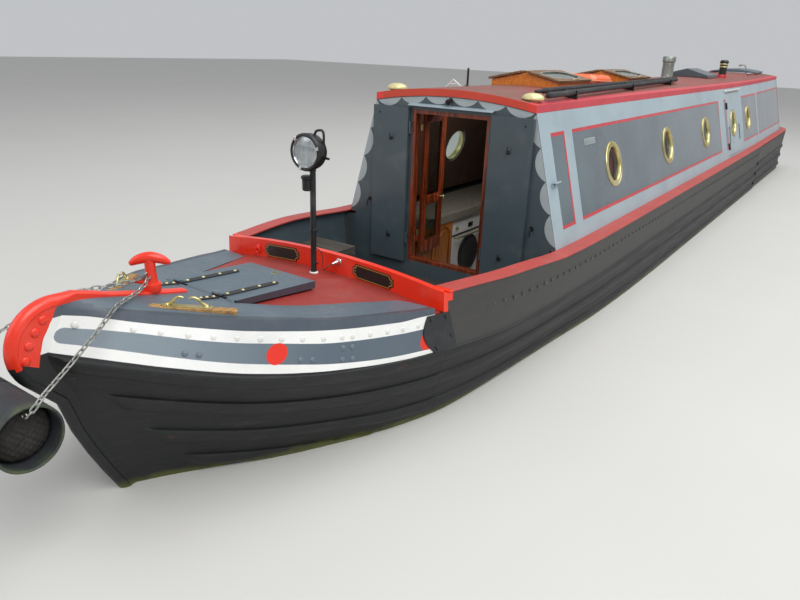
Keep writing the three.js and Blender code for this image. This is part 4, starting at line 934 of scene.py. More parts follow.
# A point on the painted band of the bow, by its x and its mark on the span map, with the way out of it
def band_point(x, mark):
    shares, i = band_shares(x), min(3, bisect(BAND_MARKS, mark) - 1)
    share = lerp(shares[i], shares[i + 1], (mark - BAND_MARKS[i]) / (BAND_MARKS[i + 1] - BAND_MARKS[i]))
    (low, high), (ahead_low, ahead_high) = upper_edges(x), upper_edges(x + 8)
    p = low.lerp(high, share)
    out = (high - low).cross(ahead_low.lerp(ahead_high, share) - p).normalized()
    return p, out if out.y > 0 else -out


# A black plate with rivets over the joint of bow and side, its fore edge curved
def joint_plate():
    def place(x, z, h):
        low, high = side_point(STRAKE_LINE, x), deck_edge(x)
        p = low.lerp(high, (z - low.z) / (high.z - low.z))
        return V(p.x, p.y + h, p.z)
    fore = [(1456 + 56 * sin(pi * t) + 44 * t, 1030 + 222 * t) for t in steps(0, 1, 12)]
    form = plate([(1275, 1012), (1370, 1016), *fore, (1425, 1247), (1340, 1245), (1308, 1130)], place, -3, 6)
    rivets = [dome(place(x, z, 6), (0, 1, 0.05), 14, 7)
              for x, z in ((1475, 1228), (1365, 1222), (1322, 1105), (1440, 1060))]
    piece("joint_plates", both(many(form, *rivets)), "iron", bevel=1.5)


# Stem: a thick bar round the nose, rounded in front and filled in behind, with rivets on each side
NOSE = {"x": 3050, "z": 1400, "r": 210}
FLAT, RIM_HALF, RIM_DEEP = 28.5, 34, 36
# Columns: height, x where the red of the stem ends on its flat side
RED_EDGE = curve([(1329, 3150), (1380, 3136), (1416, 3125), (1458, 3106), (1498, 3080), (1538, 3057), (1592, 3036),
                  (1620, 3030)])
RED_END_TURN = -0.2
STEM_RIVETS = ((3104, 1525), (3142, 1483), (3174, 1434), (3195, 1376))


# Stations of the stem: outer x and z, inner x and z, and what is painted there
def stem_line():
    up = curve([(12, 2372), (245, 2640), (575, 2862), (970, 3045), (1170, 3105), (1257, 3203)])
    line = [(up(z), z, stem_x(z) - 70, z, "black") for z in (12, 130, 245, 400, 575, 700, 830, 970, 1070, 1130)]
    inner_z = curve([(-0.75, 1235), (RED_END_TURN, 1290), (0.3, 1395), (1.65, 1395)])
    for a in steps(-0.75, RED_END_TURN, 6)[:-1] + steps(RED_END_TURN, 1.65, 20):
        line.append((NOSE["x"] + NOSE["r"] * cos(a), NOSE["z"] + NOSE["r"] * sin(a), 2975, inner_z(a),
                     "nose" if a >= RED_END_TURN - 1e-6 else "black"))
    for i in range(1, 9):
        x = lerp(3033, 2410, i / 8)
        line.append((x, lerp(1609, deck_z(x) + 15, clamp(i / 2.5)), x - 4, deck_z(x) - 30, "deck"))
    return line


# The share of the way out from the inner edge where the red begins
def red_share(x, z, xi, zi):
    return next((t for t in steps(0, 1, 100) if lerp(xi, x, t) >= RED_EDGE(lerp(zi, z, t))), 0.9)


# The span map's mark for a height at the stem
def stem_mark(z):
    share, shares = (z - 1375) / (1545 - 1375), band_shares(3110)
    i = clamp(bisect(shares, share) - 1, 0, 3)
    return lerp(BAND_MARKS[i], BAND_MARKS[i + 1], (share - shares[i]) / (shares[i + 1] - shares[i]))


def stem_bar():
    line = stem_line()
    rings, uv = [], []
    for i, (x, z, xi, zi, kind) in enumerate(line):
        a, b = line[max(i - 1, 0)], line[min(i + 1, len(line) - 1)]
        along = V(b[0] - a[0], 0, b[1] - a[1]).normalized()
        inward = V(-along.z, 0, along.x)
        if inward.dot(V(xi - x, 0, zi - z)) < 0:
            inward = -inward
        outer, inner, side = V(x, 0, z), V(xi, 0, zi), V(0, FLAT, 0)
        rim, deep = (FLAT, 8) if kind == "deck" else (RIM_HALF, RIM_DEEP)
        mark = inner.lerp(outer, 0.3 if kind != "nose" else min(0.8, red_share(x, z, xi, zi)))
        step = outer + inward * (deep + 6)
        arc = [outer + inward * deep * (1 - cos(t)) + V(0, rim * sin(t), 0) for t in steps(-pi / 2, pi / 2, 10)]
        flank = [inner.lerp(mark, t) for t in steps(0, 1, 6)]
        ring = [*[p - side for p in flank], step - side, *arc, step + side, *[p + side for p in reversed(flank)]]
        rings.append(ring)
        uv += [(-0.03, stem_mark(p.z)) for p in ring]
    obj = piece("stem_bar_dressed", skin(rings), "red bow_paint black_steel", replaces="stem_bar", sharp=0.7, uv=uv)
    # The red begins at the first station of the nose and ends along RED_EDGE
    x1, z1, x0, z0 = next(station[:4] for station in line if station[4] == "nose")
    for face in obj.data.polygons:
        x, z = face.center.x * 1000 + ORIGIN_X, face.center.z * 1000
        bottom = min(obj.data.vertices[v].co.z for v in face.vertices) * 1000
        if z < lerp(z0, z1, (x - x0) / (x1 - x0)) or bottom < 1325 or z < 1342 and x < RED_EDGE(z) - 1:
            face.material_index = 2
        elif 1300 < z < 1566 and 2960 < x < RED_EDGE(z) - 1:
            face.material_index = 1
    domes = [dome((x, FLAT, z), (0, 1, 0), 20, 8, 14) for x, z in STEM_RIVETS]
    piece("stem_rivets", both(many(*domes)), "red")


# Domes along the painted bands: x, and for the grey ones the mark on the span map
WHITE_RIVETS = (2995, 2810, 2730, 2645, 2565, 2485, 2400, 2315, 2225, 2125, 2030, 1975, 1875, 1770, 1670, 1565)
GREY_RIVETS = ((2680, 0.27), (2635, 0.27), (2255, 0.25), (2200, 0.25), (2035, 0.43), (1985, 0.43), (2050, 0.23),
               (1995, 0.23))


def band_rivets():
    white = [dome(*band_point(x, 0.62), 15, 4.5, 14) for x in WHITE_RIVETS]
    grey = [dome(*band_point(x, mark), 15, 6.5, 14) for x, mark in GREY_RIVETS]
    piece("white_rivets", both(many(*white)), "white")
    piece("grey_rivets", both(many(*grey)), "band_grey")


# CAD pieces that keep their own shape
def kept_pieces():
    keep("base_plate", "black_steel")
    keep("counter", "black_steel stern_grey", 6, zones=[(1, lambda x, y, z, n: n.z < 0.5 and z > 1010)])
    keep("stern_deck", "gunwale_paint")
    keep("dash", "red slate_dark", 5, zones=[(1, lambda x, y, z, n: n.x < -0.7)])
    keep("front_bulkhead", "slate_dark pale", zones=[(1, lambda x, y, z, n: abs(n.y) > 0.6 and abs(y) > 600)])
    keep("roof", "roof_paint", 5, 0.6)
    keep("roof_box", "slate_dark", 8, slot="slate")
    keep("locker_lid", "slate purple", 5, zones=[(1, lambda x, y, z, n: n.z < 0.5 and z < 1445)])
    for name, paint, bevel in (
            ("foredeck", "brick", 3), ("well_floor", "floor", 3), ("well_seat", "driftwood", 5),
            ("cabin_floor", "worn", 3), ("rear_bulkhead", "slate_dark", 4), ("door_frame", "varnish_up", 4),
            ("rear_slide", "slate", 4), ("skylight_fore", "skylight", 4), ("skylight_mid", "skylight", 4),
            ("engine", "zinc", 20), ("propeller", "bronze", 3), ("outer_door_port", "slate_dark", 4),
            ("outer_door_starboard", "slate_dark", 4), ("rear_door_port", "slate_dark", 4),
            ("rear_door_starboard", "slate_dark", 4)):
        keep(name, paint, bevel)


# Cabin side. A place on it is x, the height without the sheer, and how far out of it
PORTHOLE_Z, HATCH_X, PORTHOLE_HOLE = 1735, -6610, 165
PORTHOLES = {1: (-1380, -3080, -4840, -7790), -1: (-1380, -3080, -4840, HATCH_X, -7790)}
HATCH = (-7100, -6200, 1310, 2150)
PANELS = ((-390, -180), (-5680, -570), (-6166, -6060), (-8580, -7360), (-11020, -8750))
PANEL_LOW, PANEL_HIGH, COACH_LINE = 1438, 2045, 24
RING = [(142, -44), (142, 4), (146, 10), (151, 12), (154, 10), (157, 9), (174, 8), (180, 12), (186, 11),
        (190, 6), (190, -1), (168, -2), (168, -46)]


def cabin_y(z):
    return CABIN_BASE_Y - SIDE_SLOPE * (z - GUNWALE_TOP)


def on_side(x, z, out=0.0):
    return V(x, cabin_y(z) + out * cos(LEAN), z + sheer(x) + out * sin(LEAN))


# A frame at a place on the port side: x runs aft, y up the side and z out of it
def side_frame(x, z, out=0.0):
    turn = Matrix(((-1, 0, 0), (0, -sin(LEAN), cos(LEAN)), (0, cos(LEAN), sin(LEAN)))).transposed().to_4x4()
    return shift(on_side(x, z, out)) @ turn


def hole_at(x, radius):
    return [(x + radius * cos(a), PORTHOLE_Z + radius * sin(a) * cos(LEAN)) for a in angles(40)]


def porthole_ring(x):
    at = side_frame(x, PORTHOLE_Z)
    screws = [dome(at @ V(166 * cos(a + pi / 12), 166 * sin(a + pi / 12), 8), (0, cos(LEAN), sin(LEAN)), 5, 2.5)
              for a in angles(12)]
    return many(turned_ring(RING, 64, at), *screws)


def porthole_glass(x):
    return turned([(0, -13), (143, -13), (143, -9), (0, -8)], 48, side_frame(x, PORTHOLE_Z))


def panel(a, b, side):
    holes = [hole_at(x, 186) for x in PORTHOLES[side] if a < x < b]
    return plate(rectangle(a, b, PANEL_LOW, PANEL_HIGH, 250), on_side, -0.5, 1.2, holes)


# Coach lines along the top, the foot and the after end of each panel
def coach_lines(a, b):
    aft, low, high = a - COACH_LINE, PANEL_LOW - COACH_LINE, PANEL_HIGH + COACH_LINE
    return [plate(rectangle(*edges, 250), on_side, -0.5, 1.8) for edges in (
        (aft, b, PANEL_HIGH, high), (aft, b, low, PANEL_LOW), (aft, a, PANEL_LOW, PANEL_HIGH))]


def cabin_side(side, word):
    low = [(x, deck_edge(x).z + FIT + GUNWALE - sheer(x) + FIT) for x in range(-11049, -50, 250)]
    low.append((-50.3, GUNWALE_TOP + FIT))
    high = [(x, ROOF_EDGE_Z - FIT) for x, _ in reversed(low)]
    holes = [hole_at(x, PORTHOLE_HOLE) for x in PORTHOLES[side]]
    if side > 0:
        holes.append(rectangle(*HATCH))
    for name, forms, paints, more in (
            ("cabin_skin_", [plate(low + high, on_side, -WALL, 0, holes)], "pale lining",
             {"replaces": "cabin_side_" + word, "bevel": 1.5, "zones": [(1, lambda x, y, z, n: n.y * side < -0.5)]}),
            ("portholes_", [porthole_ring(x) for x in PORTHOLES[side]], "brass", {}),
            ("porthole_glass_", [porthole_glass(x) for x in PORTHOLES[side]], "glass", {}),
            ("panels_", [panel(a, b, side) for a, b in PANELS], "panel_paint", {"sharp": 0.4}),
            ("coach_lines_", [line for a, b in PANELS for line in coach_lines(a, b)], "coach", {})):
        piece(name + word, opposite(many(*forms), side), paints, **more)


# Curtains: a red one in the first port porthole and dull ones in the others, gathered in folds
def curtain(x, top, foot):
    rows = [[on_side(x + u, v, -62 + 6 * sin(u / 9.0) - 3 * cos(u / 23.0)) for u in range(-190, 191, 5)]
            for v in (foot, lerp(foot, top, 0.5), top)]
    back = [[p - V(0, 3, 0) for p in ring] for ring in reversed(rows)]
    return skin([*rows, *back, rows[0]], False, False)


def curtains():
    piece("curtain_first", curtain(-1380, 1920, 1530), "fabric")
    piece("curtains_port", many(*[curtain(x, 1920, 1800) for x in (-3080, -4840, -7790)]), "curtain")


# Side hatch: a leaf with its own porthole, handles and a rain lip over it
def side_hatch():
    aft, fore, low, high = HATCH
    body, at = "side_hatch", side_frame(fore, low)

    def hinges(x0, x1, foot, head):
        forms = [form for y in (90, 650) for form in (rod(at @ V(2.5, y + foot, 10), at @ V(2.5, y + head, 10), 8),
                                                      boxed(x0, x1, y + foot, y + head, -0.5, 5, at))]
        return many(*forms)
    leaf = plate(rectangle(aft + 5, fore - 5, low + 5, high - 5), on_side, -WALL, 0, [hole_at(HATCH_X, PORTHOLE_HOLE)])
    piece("side_hatch_leaf", leaf, "pale", body=body, replaces=body, bevel=3)
    piece("side_hatch_hinges", hinges(2.5, 48, 45.4, 90.4), "black", body=body, bevel=1)
    piece("hatch_fixed_hinges", hinges(-40, 2.5, 0, 45), "black", bevel=1)
    piece("side_hatch_ring", porthole_ring(HATCH_X), "brass", body=body)
    piece("side_hatch_glass", porthole_glass(HATCH_X), "glass", body=body)
    grip = ((1480, 1), (1496, 7.5), (1590, 8.5), (1684, 7.5), (1700, 1))
    bars = [tube(route([on_side(x, z, out) for z, out in grip]), 4) for x in (-6290, -6990)]
    piece("side_hatch_handles", many(*bars), "black", body=body)
    lip = [on_side(*p) for p in ((-7150, 2168, 1), (-7140, 2176, 16), (-6160, 2176, 16), (-6150, 2168, 1))]
    drip = many(tube(route(lip, 6, 0.3), 9, 10), boxed(0, 1000, -8, 8, 0, 14, side_frame(-6150, 2176)))
    piece("hatch_rain_lip", drip, "white", bevel=2)


# The corner of the cabin: a louvred vent high on the side, and a cabin hook on a plate at the corner
def side_fittings():
    at = side_frame(-775, 1958)
    slats = [moved(boxed(8, 217, -5, 5, 0, 3), at @ shift((0, -19 + 12.5 * i, 7)) @ spin(0.6, "X")) for i in range(4)]
    piece("side_louvre", many(boxed(0, 225, -25, 25, -0.5, 5, at), *slats), "scallop", bevel=1.5)
    at = side_frame(-120, 1742)
    arm = many(boxed(-50, 46, -5, 5, 10, 40, at), boxed(-44, 40, -30, -5, -0.5, 10, at),
               rod(at @ V(-10, -16, -1), at @ V(-10, -16, 22), 9))
    piece("corner_latch", arm, "pale", bevel=3)


# A flat disc segment on the bulkhead's face between two edge points (y, z), bulging away from the edge
def lobe(a, b, sag, way):
    (ya, za), (yb, zb) = a, b
    chord = hypot(yb - ya, zb - za)
    radius = (chord * chord / 4 + sag * sag) / (2 * sag)
    cy = (ya + yb) / 2 + (za - zb) / chord * way * (sag - radius)
    cz = (za + zb) / 2 + (yb - ya) / chord * way * (sag - radius)
    outline = []
    for t in steps(0, 1, 12):
        dy, dz = lerp(ya, yb, t) - cy, lerp(za, zb, t) - cz
        size = radius / hypot(dy, dz)
        outline.append((cy + dy * size, cz + dz * size))
    return plate(outline, across(0), -1, 1.5)


def scallops():
    heights, spans = [1322, 1543, 1764, 1985, 2199], [-655, -437, -218, 0, 218, 437, 655]
    sides = [lobe((cabin_y(a) - 3, a), (cabin_y(b) - 3, b), 60, 1) for a, b in zip(heights, heights[1:])]
    top = [lobe((a, roof_top(0, a) - ROOF_THICK - 4), (b, roof_top(0, b) - ROOF_THICK - 4), 52, -1)
           for a, b in zip(spans, spans[1:])]
    piece("bulkhead_scallops", many(both(many(*sides)), *top), "scallop")


def bulkhead_fittings():
    profile = [(0, 0), (36, -12), (38, -18), (34, -20), (0, -8)]
    guard = skin([[V(x - 1, y, 2206 + z) for x, z in profile] for y in (-356, 356)])
    piece("door_rain_guard", guard, "pale", "slate", bevel=2)
    lamp = turned([(0, -1), (17, -1), (17, 5), (12, 8), (12, 26), (20, 34), (20, 44), (0, 46)], 24,
                  axes((0, -6, 2246), (0, 1, 0), (1, 0, -0.35)))
    piece("door_light", lamp, "black")
    for side, word in SIDES:
        y, ye, hooks = side * 500, side * 720, []
        for z in (1935, 1165):
            hooks.append(boxed(32, 37, y - 14, y + 14, z - 12, z + 12))
            bend = ((34, -4), (56, -8), (60, 14), (60, 40))
            hooks.append(tube(route([(x, y + 6, z + up) for x, up in bend], 6), 4.5, 10))
        hooks.append(rod((32, side * 612, 2120), (38, side * 612, 2120), 6, 12))
        piece("door_hooks_" + word, many(*hooks), "black", body="outer_door_" + word, bevel=1)
        bend = ((-1, 1420), (26, 1424), (30, 1400), (28, 1372))
        eye = many(tube(route([(x, ye, z) for x, z in bend], 6), 5, 10), boxed(-1, 5, ye - 13, ye + 13, 1408, 1440))
        piece("bulkhead_hook_" + word, eye, "black", bevel=1)


# Inner doors: glazed wood leaves. The starboard one stands open.
INNER_PIN, INNER_ROWS = (-104, 313), (1120, 1950)


def grow(outline, by):
    us, vs = zip(*outline)
    cu, cv = (min(us) + max(us)) / 2, (min(vs) + max(vs)) / 2
    return [(u + (by if u > cu else -by), v + (by if v > cv else -by)) for u, v in outline]


def inner_door(side, word):
    opened, body = shift((INNER_PIN[0], -INNER_PIN[1], 0)) @ spin(pi / 2, "Z"), "inner_door_" + word
    panes = [(64, 253, 1108, 1420), (64, 253, 1480, 2066)]
    holes = [rounded_rectangle(*pane, 10) for pane in panes]
    beads, glasses = [], []
    for (u0, u1, v0, v1), hole in zip(panes, holes):
        inner = rounded_rectangle(u0 + 9, u1 - 9, v0 + 9, v1 - 9, 8)
        beads += [plate(grow(hole, 5), across(0), low, low + 4, [inner]) for low in (13, 27)]
        glasses.append(plate(grow(hole, 3), across(0), 20.5, 23.5))
    hinges = [form for z in INNER_ROWS for form in (rod((0, 0, z + 45.4), (0, 0, z + 90.4), 8),
                                                    boxed(0, 12, 0, 28, z + 45.4, z + 90.4))]
    knob = turned([(0, 0), (7, 0), (6, 12), (13, 20), (15, 27), (11, 33), (0, 36)], 20,
                  axes((36, 280, 1450), **FORWARD))
    leaf = plate(rectangle(8, 309, 1018, 2122), across(0), 8, 36, holes)
    for name, forms, paint, more in (("_frame", [leaf], "varnish_up", {"replaces": body, "bevel": 2.5}),
                                     ("_beads", beads, "varnish_up", {}), ("_panes", glasses, "glass", {}),
                                     ("_brass", [*hinges, knob], "brass", {"bevel": 0.8})):
        piece(body + name, opposite(moved(many(*forms), opened), -side), paint, body=body, **more)


# Skylight lids: wood frames round an oval pane
SKYLIGHTS = {"skylight_fore": (-1860, -1180), "skylight_mid": (-3720, -3050)}
LID_WIDE = 308
LID_SLOPE = (2424 - 2358) / LID_WIDE


def lid_place(u, v, h):
    c = 1 / hypot(1, LID_SLOPE)
    return V(u, 22 + v * c + h * LID_SLOPE * c, 2429 - LID_SLOPE * (22 + v * c) + h * c)


def lid(name, side, word):
    aft, fore = SKYLIGHTS[name]
    deep, body = LID_WIDE * hypot(1, LID_SLOPE), name + "_lid_" + word
    cu, cv = (aft + fore) / 2, deep / 2

    def bulge(t):
        return abs(t) ** 0.7 * (1 if t > 0 else -1)
    oval = [(((fore - aft) / 2 - 38) * bulge(cos(a)), (deep / 2 - 46) * bulge(sin(a))) for a in angles(56)]
    hole, inner, wider = ([(cu + u * su, cv + v * sv) for u, v in oval]
                          for su, sv in ((1, 1), (0.93, 0.9), (1.02, 1.03)))
    pins = [form for x in (aft + 90, fore - 120) for form in (rod((x + 30.4, 12, 2438), (x + 60.4, 12, 2438), 6, 14),
                                                              boxed(x + 30.4, x + 60.4, 12, 27, 2433, 2442))]
    grip = ((-60, 322, 2384), (-40, 335, 2388), (40, 335, 2388), (60, 322, 2384))
    pins.append(tube(route([(cu + x, y, z) for x, y, z in grip], 5), 4, 8))
    leaf = plate(rectangle(aft - 22, fore + 22, 0, deep, 120), lid_place, 0.5, 19.5, [hole])
    for part, form, paint, more in (("_frame", leaf, "lid_wood", {"replaces": body, "bevel": 3}),
                                    ("_bead", plate(wider, lid_place, 12, 22, [inner]), "zinc", {"bevel": 1.5}),
                                    ("_pane", plate(wider, lid_place, 8, 11.5), "skyglass", {}),
                                    ("_brass", many(*pins), "brass", {"bevel": 0.8})):
        piece(body + part, opposite(form, side), paint, body=body, **more)


def lids():
    for name in SKYLIGHTS:
        for side, word in SIDES:
            lid(name, side, word)


# Roof fittings
CAP = [(0, 0), (46, 0), (46, 10), (70, 12), (76, 18), (77, 25), (72, 36), (60, 46), (42, 54), (20, 58), (0, 59)]
# Each pole's fore and after end: x, y
POLES = (((-280, 520), (-4690, 368)), ((-250, 632), (-4450, 436)))
POLE_LIFT, POLE_PARTS = 47, 90


def mushroom(side, word):
    at = V(-130, side * 572, roof_top(-130, 572) - 5)
    screws = [dome(at + V(62 * cos(a), 62 * sin(a), 4), (0, 0, 1), 4, 2, 8) for a in (0.4, 2.5, 4.6)]
    flange = turned([(0, 3), (56, 3), (58, 6), (54, 9), (46, 9)], 40, shift(at))
    piece("mushroom_" + word, many(turned(CAP, 48, shift(at)), flange, *screws), "brass_dull",
          replaces="mushroom_vent_" + word)


def roof_poles():
    sleeves, clips = [], []
    for k, ends in enumerate(POLES):
        start, end = (V(x, y, roof_top(x, y) + POLE_LIFT) for x, y in ends)

        def size(t, k=k):
            i = round(t * POLE_PARTS)
            return (12 if k == 0 and t < 0.03 else 21) + (sin(i * 1.7 + k) * 0.7 + sin(i * 0.61) * 0.8) * 0.6
        sleeves.append(rounded([start.lerp(end, t) for t in steps(0, 1, POLE_PARTS)], size, 18))
    for t in (0.12, 0.5, 0.88):
        (xa, a), (xb, b) = ((lerp(p[0], q[0], t), lerp(p[1], q[1], t)) for p, q in POLES)
        x = (xa + xb) / 2
        low = roof_top(x, b) - 3
        cups = [[(y + 22 * cos(turn), low + up - 24 * sin(turn)) for turn in steps(0, pi, 8)]
                for y, up in ((b, 52), (a, 56))]
        outline = [(a - 30, low), (b + 30, low), (b + 30, low + 62), (b + 20, low + 70), *cups[0], (b - 26, low + 66),
                   (a + 26, low + 70), *cups[1], (a - 24, low + 70), (a - 30, low + 62)]
        clips.append(plate(outline, across(x), -11, 11))
    piece("roof_pole_sleeves", many(*sleeves), "pole", replaces="roof_poles")
    piece("roof_pole_clips", many(*clips), "black", bevel=2)


def on_roof(x, y, up=0):
    return V(x, y, roof_top(x, y) + up)


def pipes():
    at = shift(on_roof(-4850, 215))
    flue = [(0, -20), (84, -20), (84, 3), (80, 8), (74, 14), (70, 18), (68, 30), (68, 214), (74, 218), (78, 222),
            (78, 272), (74, 280), (66, 284), (62, 270), (0, 268)]
    bands = [turned([(66, z), (71, z), (72, z + 3), (71, z + 6), (66, z + 6)], 40, at) for z in (60, 190)]
    piece("flue_pipe", many(turned(flue, 56, at), *bands), "zinc", "steel", replaces="flue")
    at = shift(on_roof(-7800, 300))
    pipe = [(0, 30), (58, 30), (56, 52), (56, 212), (62, 216), (66, 222), (66, 232), (60, 246), (50, 258), (40, 262),
            (0, 260)]
    piece("chimney_pipe", turned(pipe, 48, at), "black", replaces="chimney")
    piece("chimney_base", turned([(0, -20), (72, -20), (72, 34), (68, 42), (58, 46), (0, 46)], 48, at), "coach")
    rings = [turned([(54, z), (59, z), (60.5, z + 4), (60.5, z + 16), (59, z + 20), (54, z + 20)], 48, at)
             for z in (150, 190)]
    piece("chimney_bands", many(*rings), "brass")


# Lifebuoy with four bands and a grab line
BUOY_RADIUS, BUOY_HALF, BAND_TURNS = 235, 54, (0.8, 2.37, 3.94, 5.51)


def lifebuoy():
    at = on_roof(-2430, 20, 40)

    def torus(small, first, last, count):
        rings = []
        for a in steps(first, last, count):
            out = V(cos(a), sin(a), 0)
            rings.append([at + out * (BUOY_RADIUS + small * cos(t)) + V(0, 0, 0.74 * small * sin(t))
                          for t in angles(20)])
        return skin(rings, True, last - first < 6)
    piece("lifebuoy_ring", torus(BUOY_HALF, 0, 2 * pi, 72), "orange", replaces="lifebuoy")
    bands = [torus(BUOY_HALF + 1.5, a - 0.11, a + 0.11, 6) for a in BAND_TURNS]
    piece("lifebuoy_bands", many(*bands), "salmon", "white")
    lines = []
    for k in range(4):
        line = []
        for t in steps(0, 1, 12):
            a, sag = 0.8 + (k + t) * pi / 2, sin(pi * t)
            line.append(at + V(cos(a), sin(a), 0) * (291 + 4 * sag) + V(0, 0, -4 - 6 * sag))
        lines.append(tube(line, 4.5, 8))
    piece("lifebuoy_line", many(*lines), "salmon", "rope")


# A small folding aerial frame and a short post by it
def aerial():
    def beam(a, b, wide, deep):
        other = (b - a).normalized().cross(V(1, 0, 0)).normalized()
        return skin([[p + V(deep / 2 * s, 0, 0) + other * wide / 2 * t for s, t in ((-1, -1), (1, -1), (1, 1), (-1, 1))]
                     for p in (a, b)])
    a, b, c = on_roof(-760, -520, -2), on_roof(-760, -370, -2), V(-760, -445, 2352)
    form = many(beam(a, c, 12, 10), beam(b, c, 12, 10), beam(a.lerp(c, 0.45), b.lerp(c, 0.45), 10, 8))
    piece("aerial_frame", form, "white", bevel=2)
    foot = on_roof(-760, -310, -3)
    post = many(rounded([foot + V(0, 0, up) for up in (0, 70, 140)], 9, 14),
                turned([(0, 0), (24, 0), (24, 4), (14, 10), (9, 16)], 24, shift(foot)))
    piece("aerial_post", post, "black")


# Foredeck fittings
T_TURN, STUD_X = -0.755, 2580


def stud():
    along = V(cos(T_TURN), sin(T_TURN), 0)

    def at(reach, z):
        return V(STUD_X + along.x * reach, along.y * reach, z)
    arms = rounded(route([at(*p) for p in ((-80, 1636), (-48, 1652), (0, 1662), (48, 1652), (80, 1636))], 6),
                   lambda t: 13 + 12 * sin(pi * t) ** 0.8, 20)
    horn = rounded(route([at(10, 1548), at(50, 1546), at(86, 1552)], 6), lambda t: 15 - 8 * t)
    low = deck_z(STUD_X) + 13
    stem = turned([(0, low), (40, low), (41, low + 4), (41, low + 34), (39, low + 38), (30, low + 39), (28, low + 44),
                   (24, 1600), (24, 1655), (0, 1660)], 40, shift((STUD_X, 0, 0)))
    piece("t_stud_dressed", many(stem, arms, horn), "red", replaces="t_stud", sharp=0.9)
    ring = closed_tube([V(2601 + 15 * cos(a), 15 * sin(a) * 0.3, 1578 + 15 * sin(a)) for a in angles(20)], 4.5)
    piece("stud_shackle", ring, "zinc")


# The chain's route, and its links
CHAIN = [(2601, 12, 1578), (2645, 42, 1556), (2710, 78, 1546), (2850, 138, 1538), (2980, 195, 1482),
         (3150, 262, 1412), (3270, 305, 1364), (3322, 324, 1336), (3345, 314, 1310), (3347, 286, 1296)]
LINK = {"pitch": 31.0, "length": 44, "width": 24, "wire": 6.8}


# One oval link lying in the plane of along and flat
def link(at, along, flat):
    along = along.normalized()
    side = (flat - along * flat.dot(along)).normalized()
    r, straight = (LINK["width"] - LINK["wire"]) / 2, (LINK["length"] - LINK["width"]) / 2
    line = [at + along * sign * (straight + r * cos(a)) + side * sign * r * sin(a)
            for sign in (1, -1) for a in steps(-pi / 2, pi / 2, 8)]
    return closed_tube(line, LINK["wire"] / 2, 8, along.cross(side).normalized())


def chain():
    line, walked, links = route(CHAIN, 12, 0.3), [0.0], []
    for a, b in zip(line, line[1:]):
        walked.append(walked[-1] + (b - a).length)
    for k in range(int(walked[-1] / LINK["pitch"]) + 1):
        goal = min(k * LINK["pitch"], walked[-1] - 1)
        i = clamp(bisect(walked, goal), 1, len(line) - 1)
        a, b = line[i - 1], line[i]
        up = V(0, 0, 1) if k % 2 else (b - a).cross(V(0, 0, 1))
        links.append(link(a.lerp(b, (goal - walked[i - 1]) / (walked[i] - walked[i - 1])), b - a, up))
    form = many(*links)
    for side, word in SIDES:
        piece("fender_links_" + word, opposite(form, side), "zinc", replaces="fender_chain_" + word)


FENDER = {"x": 3347.6, "z": 1203, "r": 134, "inner": 122, "half": 300, "groove": 8}
CORE = {"r": 110, "deep": 34, "reach": 262}


def fender():
    at = shift((FENDER["x"], 0, FENDER["z"])) @ spin(-pi / 2, "X")
    r, inner, a, b = FENDER["r"], FENDER["inner"], FENDER["groove"], FENDER["half"]
    profile = [(inner, a), (r - 10, a), (r - 3, a + 3), *[(r, z) for z in steps(a + 10, b - 10, 6)[:-1]], (r, b - 6),
               (r - 2, b - 2), (r - 4, b), (inner + 3, b), (inner, b - 4)]
    sleeves = [turned_ring([(radius, z * sign) for radius, z in profile], 72, at) for sign in (1, -1)]
    piece("fender_sleeves", many(*sleeves), "tyre", replaces="bow_fender")
    # The plaited rope core swells out at each end, below the rim
    cap, deep, reach = CORE["r"], CORE["deep"], CORE["reach"]
    ends = [(cap * (i + 0.1) / 16, reach - deep * (i / 16) ** 2.2) for i in range(17)]
    rows = [(r, -y) for r, y in ends] + [(cap, y) for y in steps(deep - reach, reach - deep, 110)[1:-1]] + ends[::-1]
    rings = []
    for radius, y in rows:
        ring = []
        for a in angles(72):
            u, w = radius * cos(a), radius * sin(a)
            weave = 9 * abs(sin((u + w) * 0.1)) * abs(sin((u - w) * 0.1)) * (radius < cap)
            plait = abs(sin(a * 9 + y * 0.075)) * abs(sin(a * 9 - y * 0.075)) ** 0.5
            out = radius + (7 * plait if abs(y) < reach - deep else 0)
            ring.append(at @ V(out * cos(a), out * sin(a), y + (weave if y > 0 else -weave)))
        rings.append(ring)
    piece("fender_core", skin(rings), "rope", sharp=1.2)


def fairleads():
    frame_at = shift((2560, 262, 1464)) @ spin(-0.72, "Z") @ spin(-0.12, "Y")
    at = frame_at @ shift((28, 0, 0))
    block = boxed(-190, 245, -20, 20, -16, 16, frame_at)
    brass = [plate(rounded_rectangle(-112, 112, -15, 15, 14), onto(at), 15, 21)]
    for horn in (((-84, 22), (-62, 36), (-46, 52), (-24, 60), (-6, 56)),
                 ((84, 22), (62, 36), (50, 52), (38, 60), (20, 57))):
        brass.append(rounded(route([at @ V(x, 0, z) for x, z in horn], 5), lambda t: 8 - 3 * t, 12))
    brass += [turned([(0, 20), (14, 20), (12, 25), (8, 30)], 20, at @ shift((x, 0, 0))) for x in (-84, 84)]
    for side, word in SIDES:
        piece("fairlead_block_" + word, opposite(block, side), "fair_wood", replaces="fairlead_" + word, bevel=5)
        piece("fairlead_brass_" + word, opposite(many(*brass), side), "brass", bevel=1, sharp=0.8)


# Headlamp on its post, with its cable and plug
LAMP = {"x": 1480, "bowl": (1525, 2028), "turn": 0.05, "top": 1915}


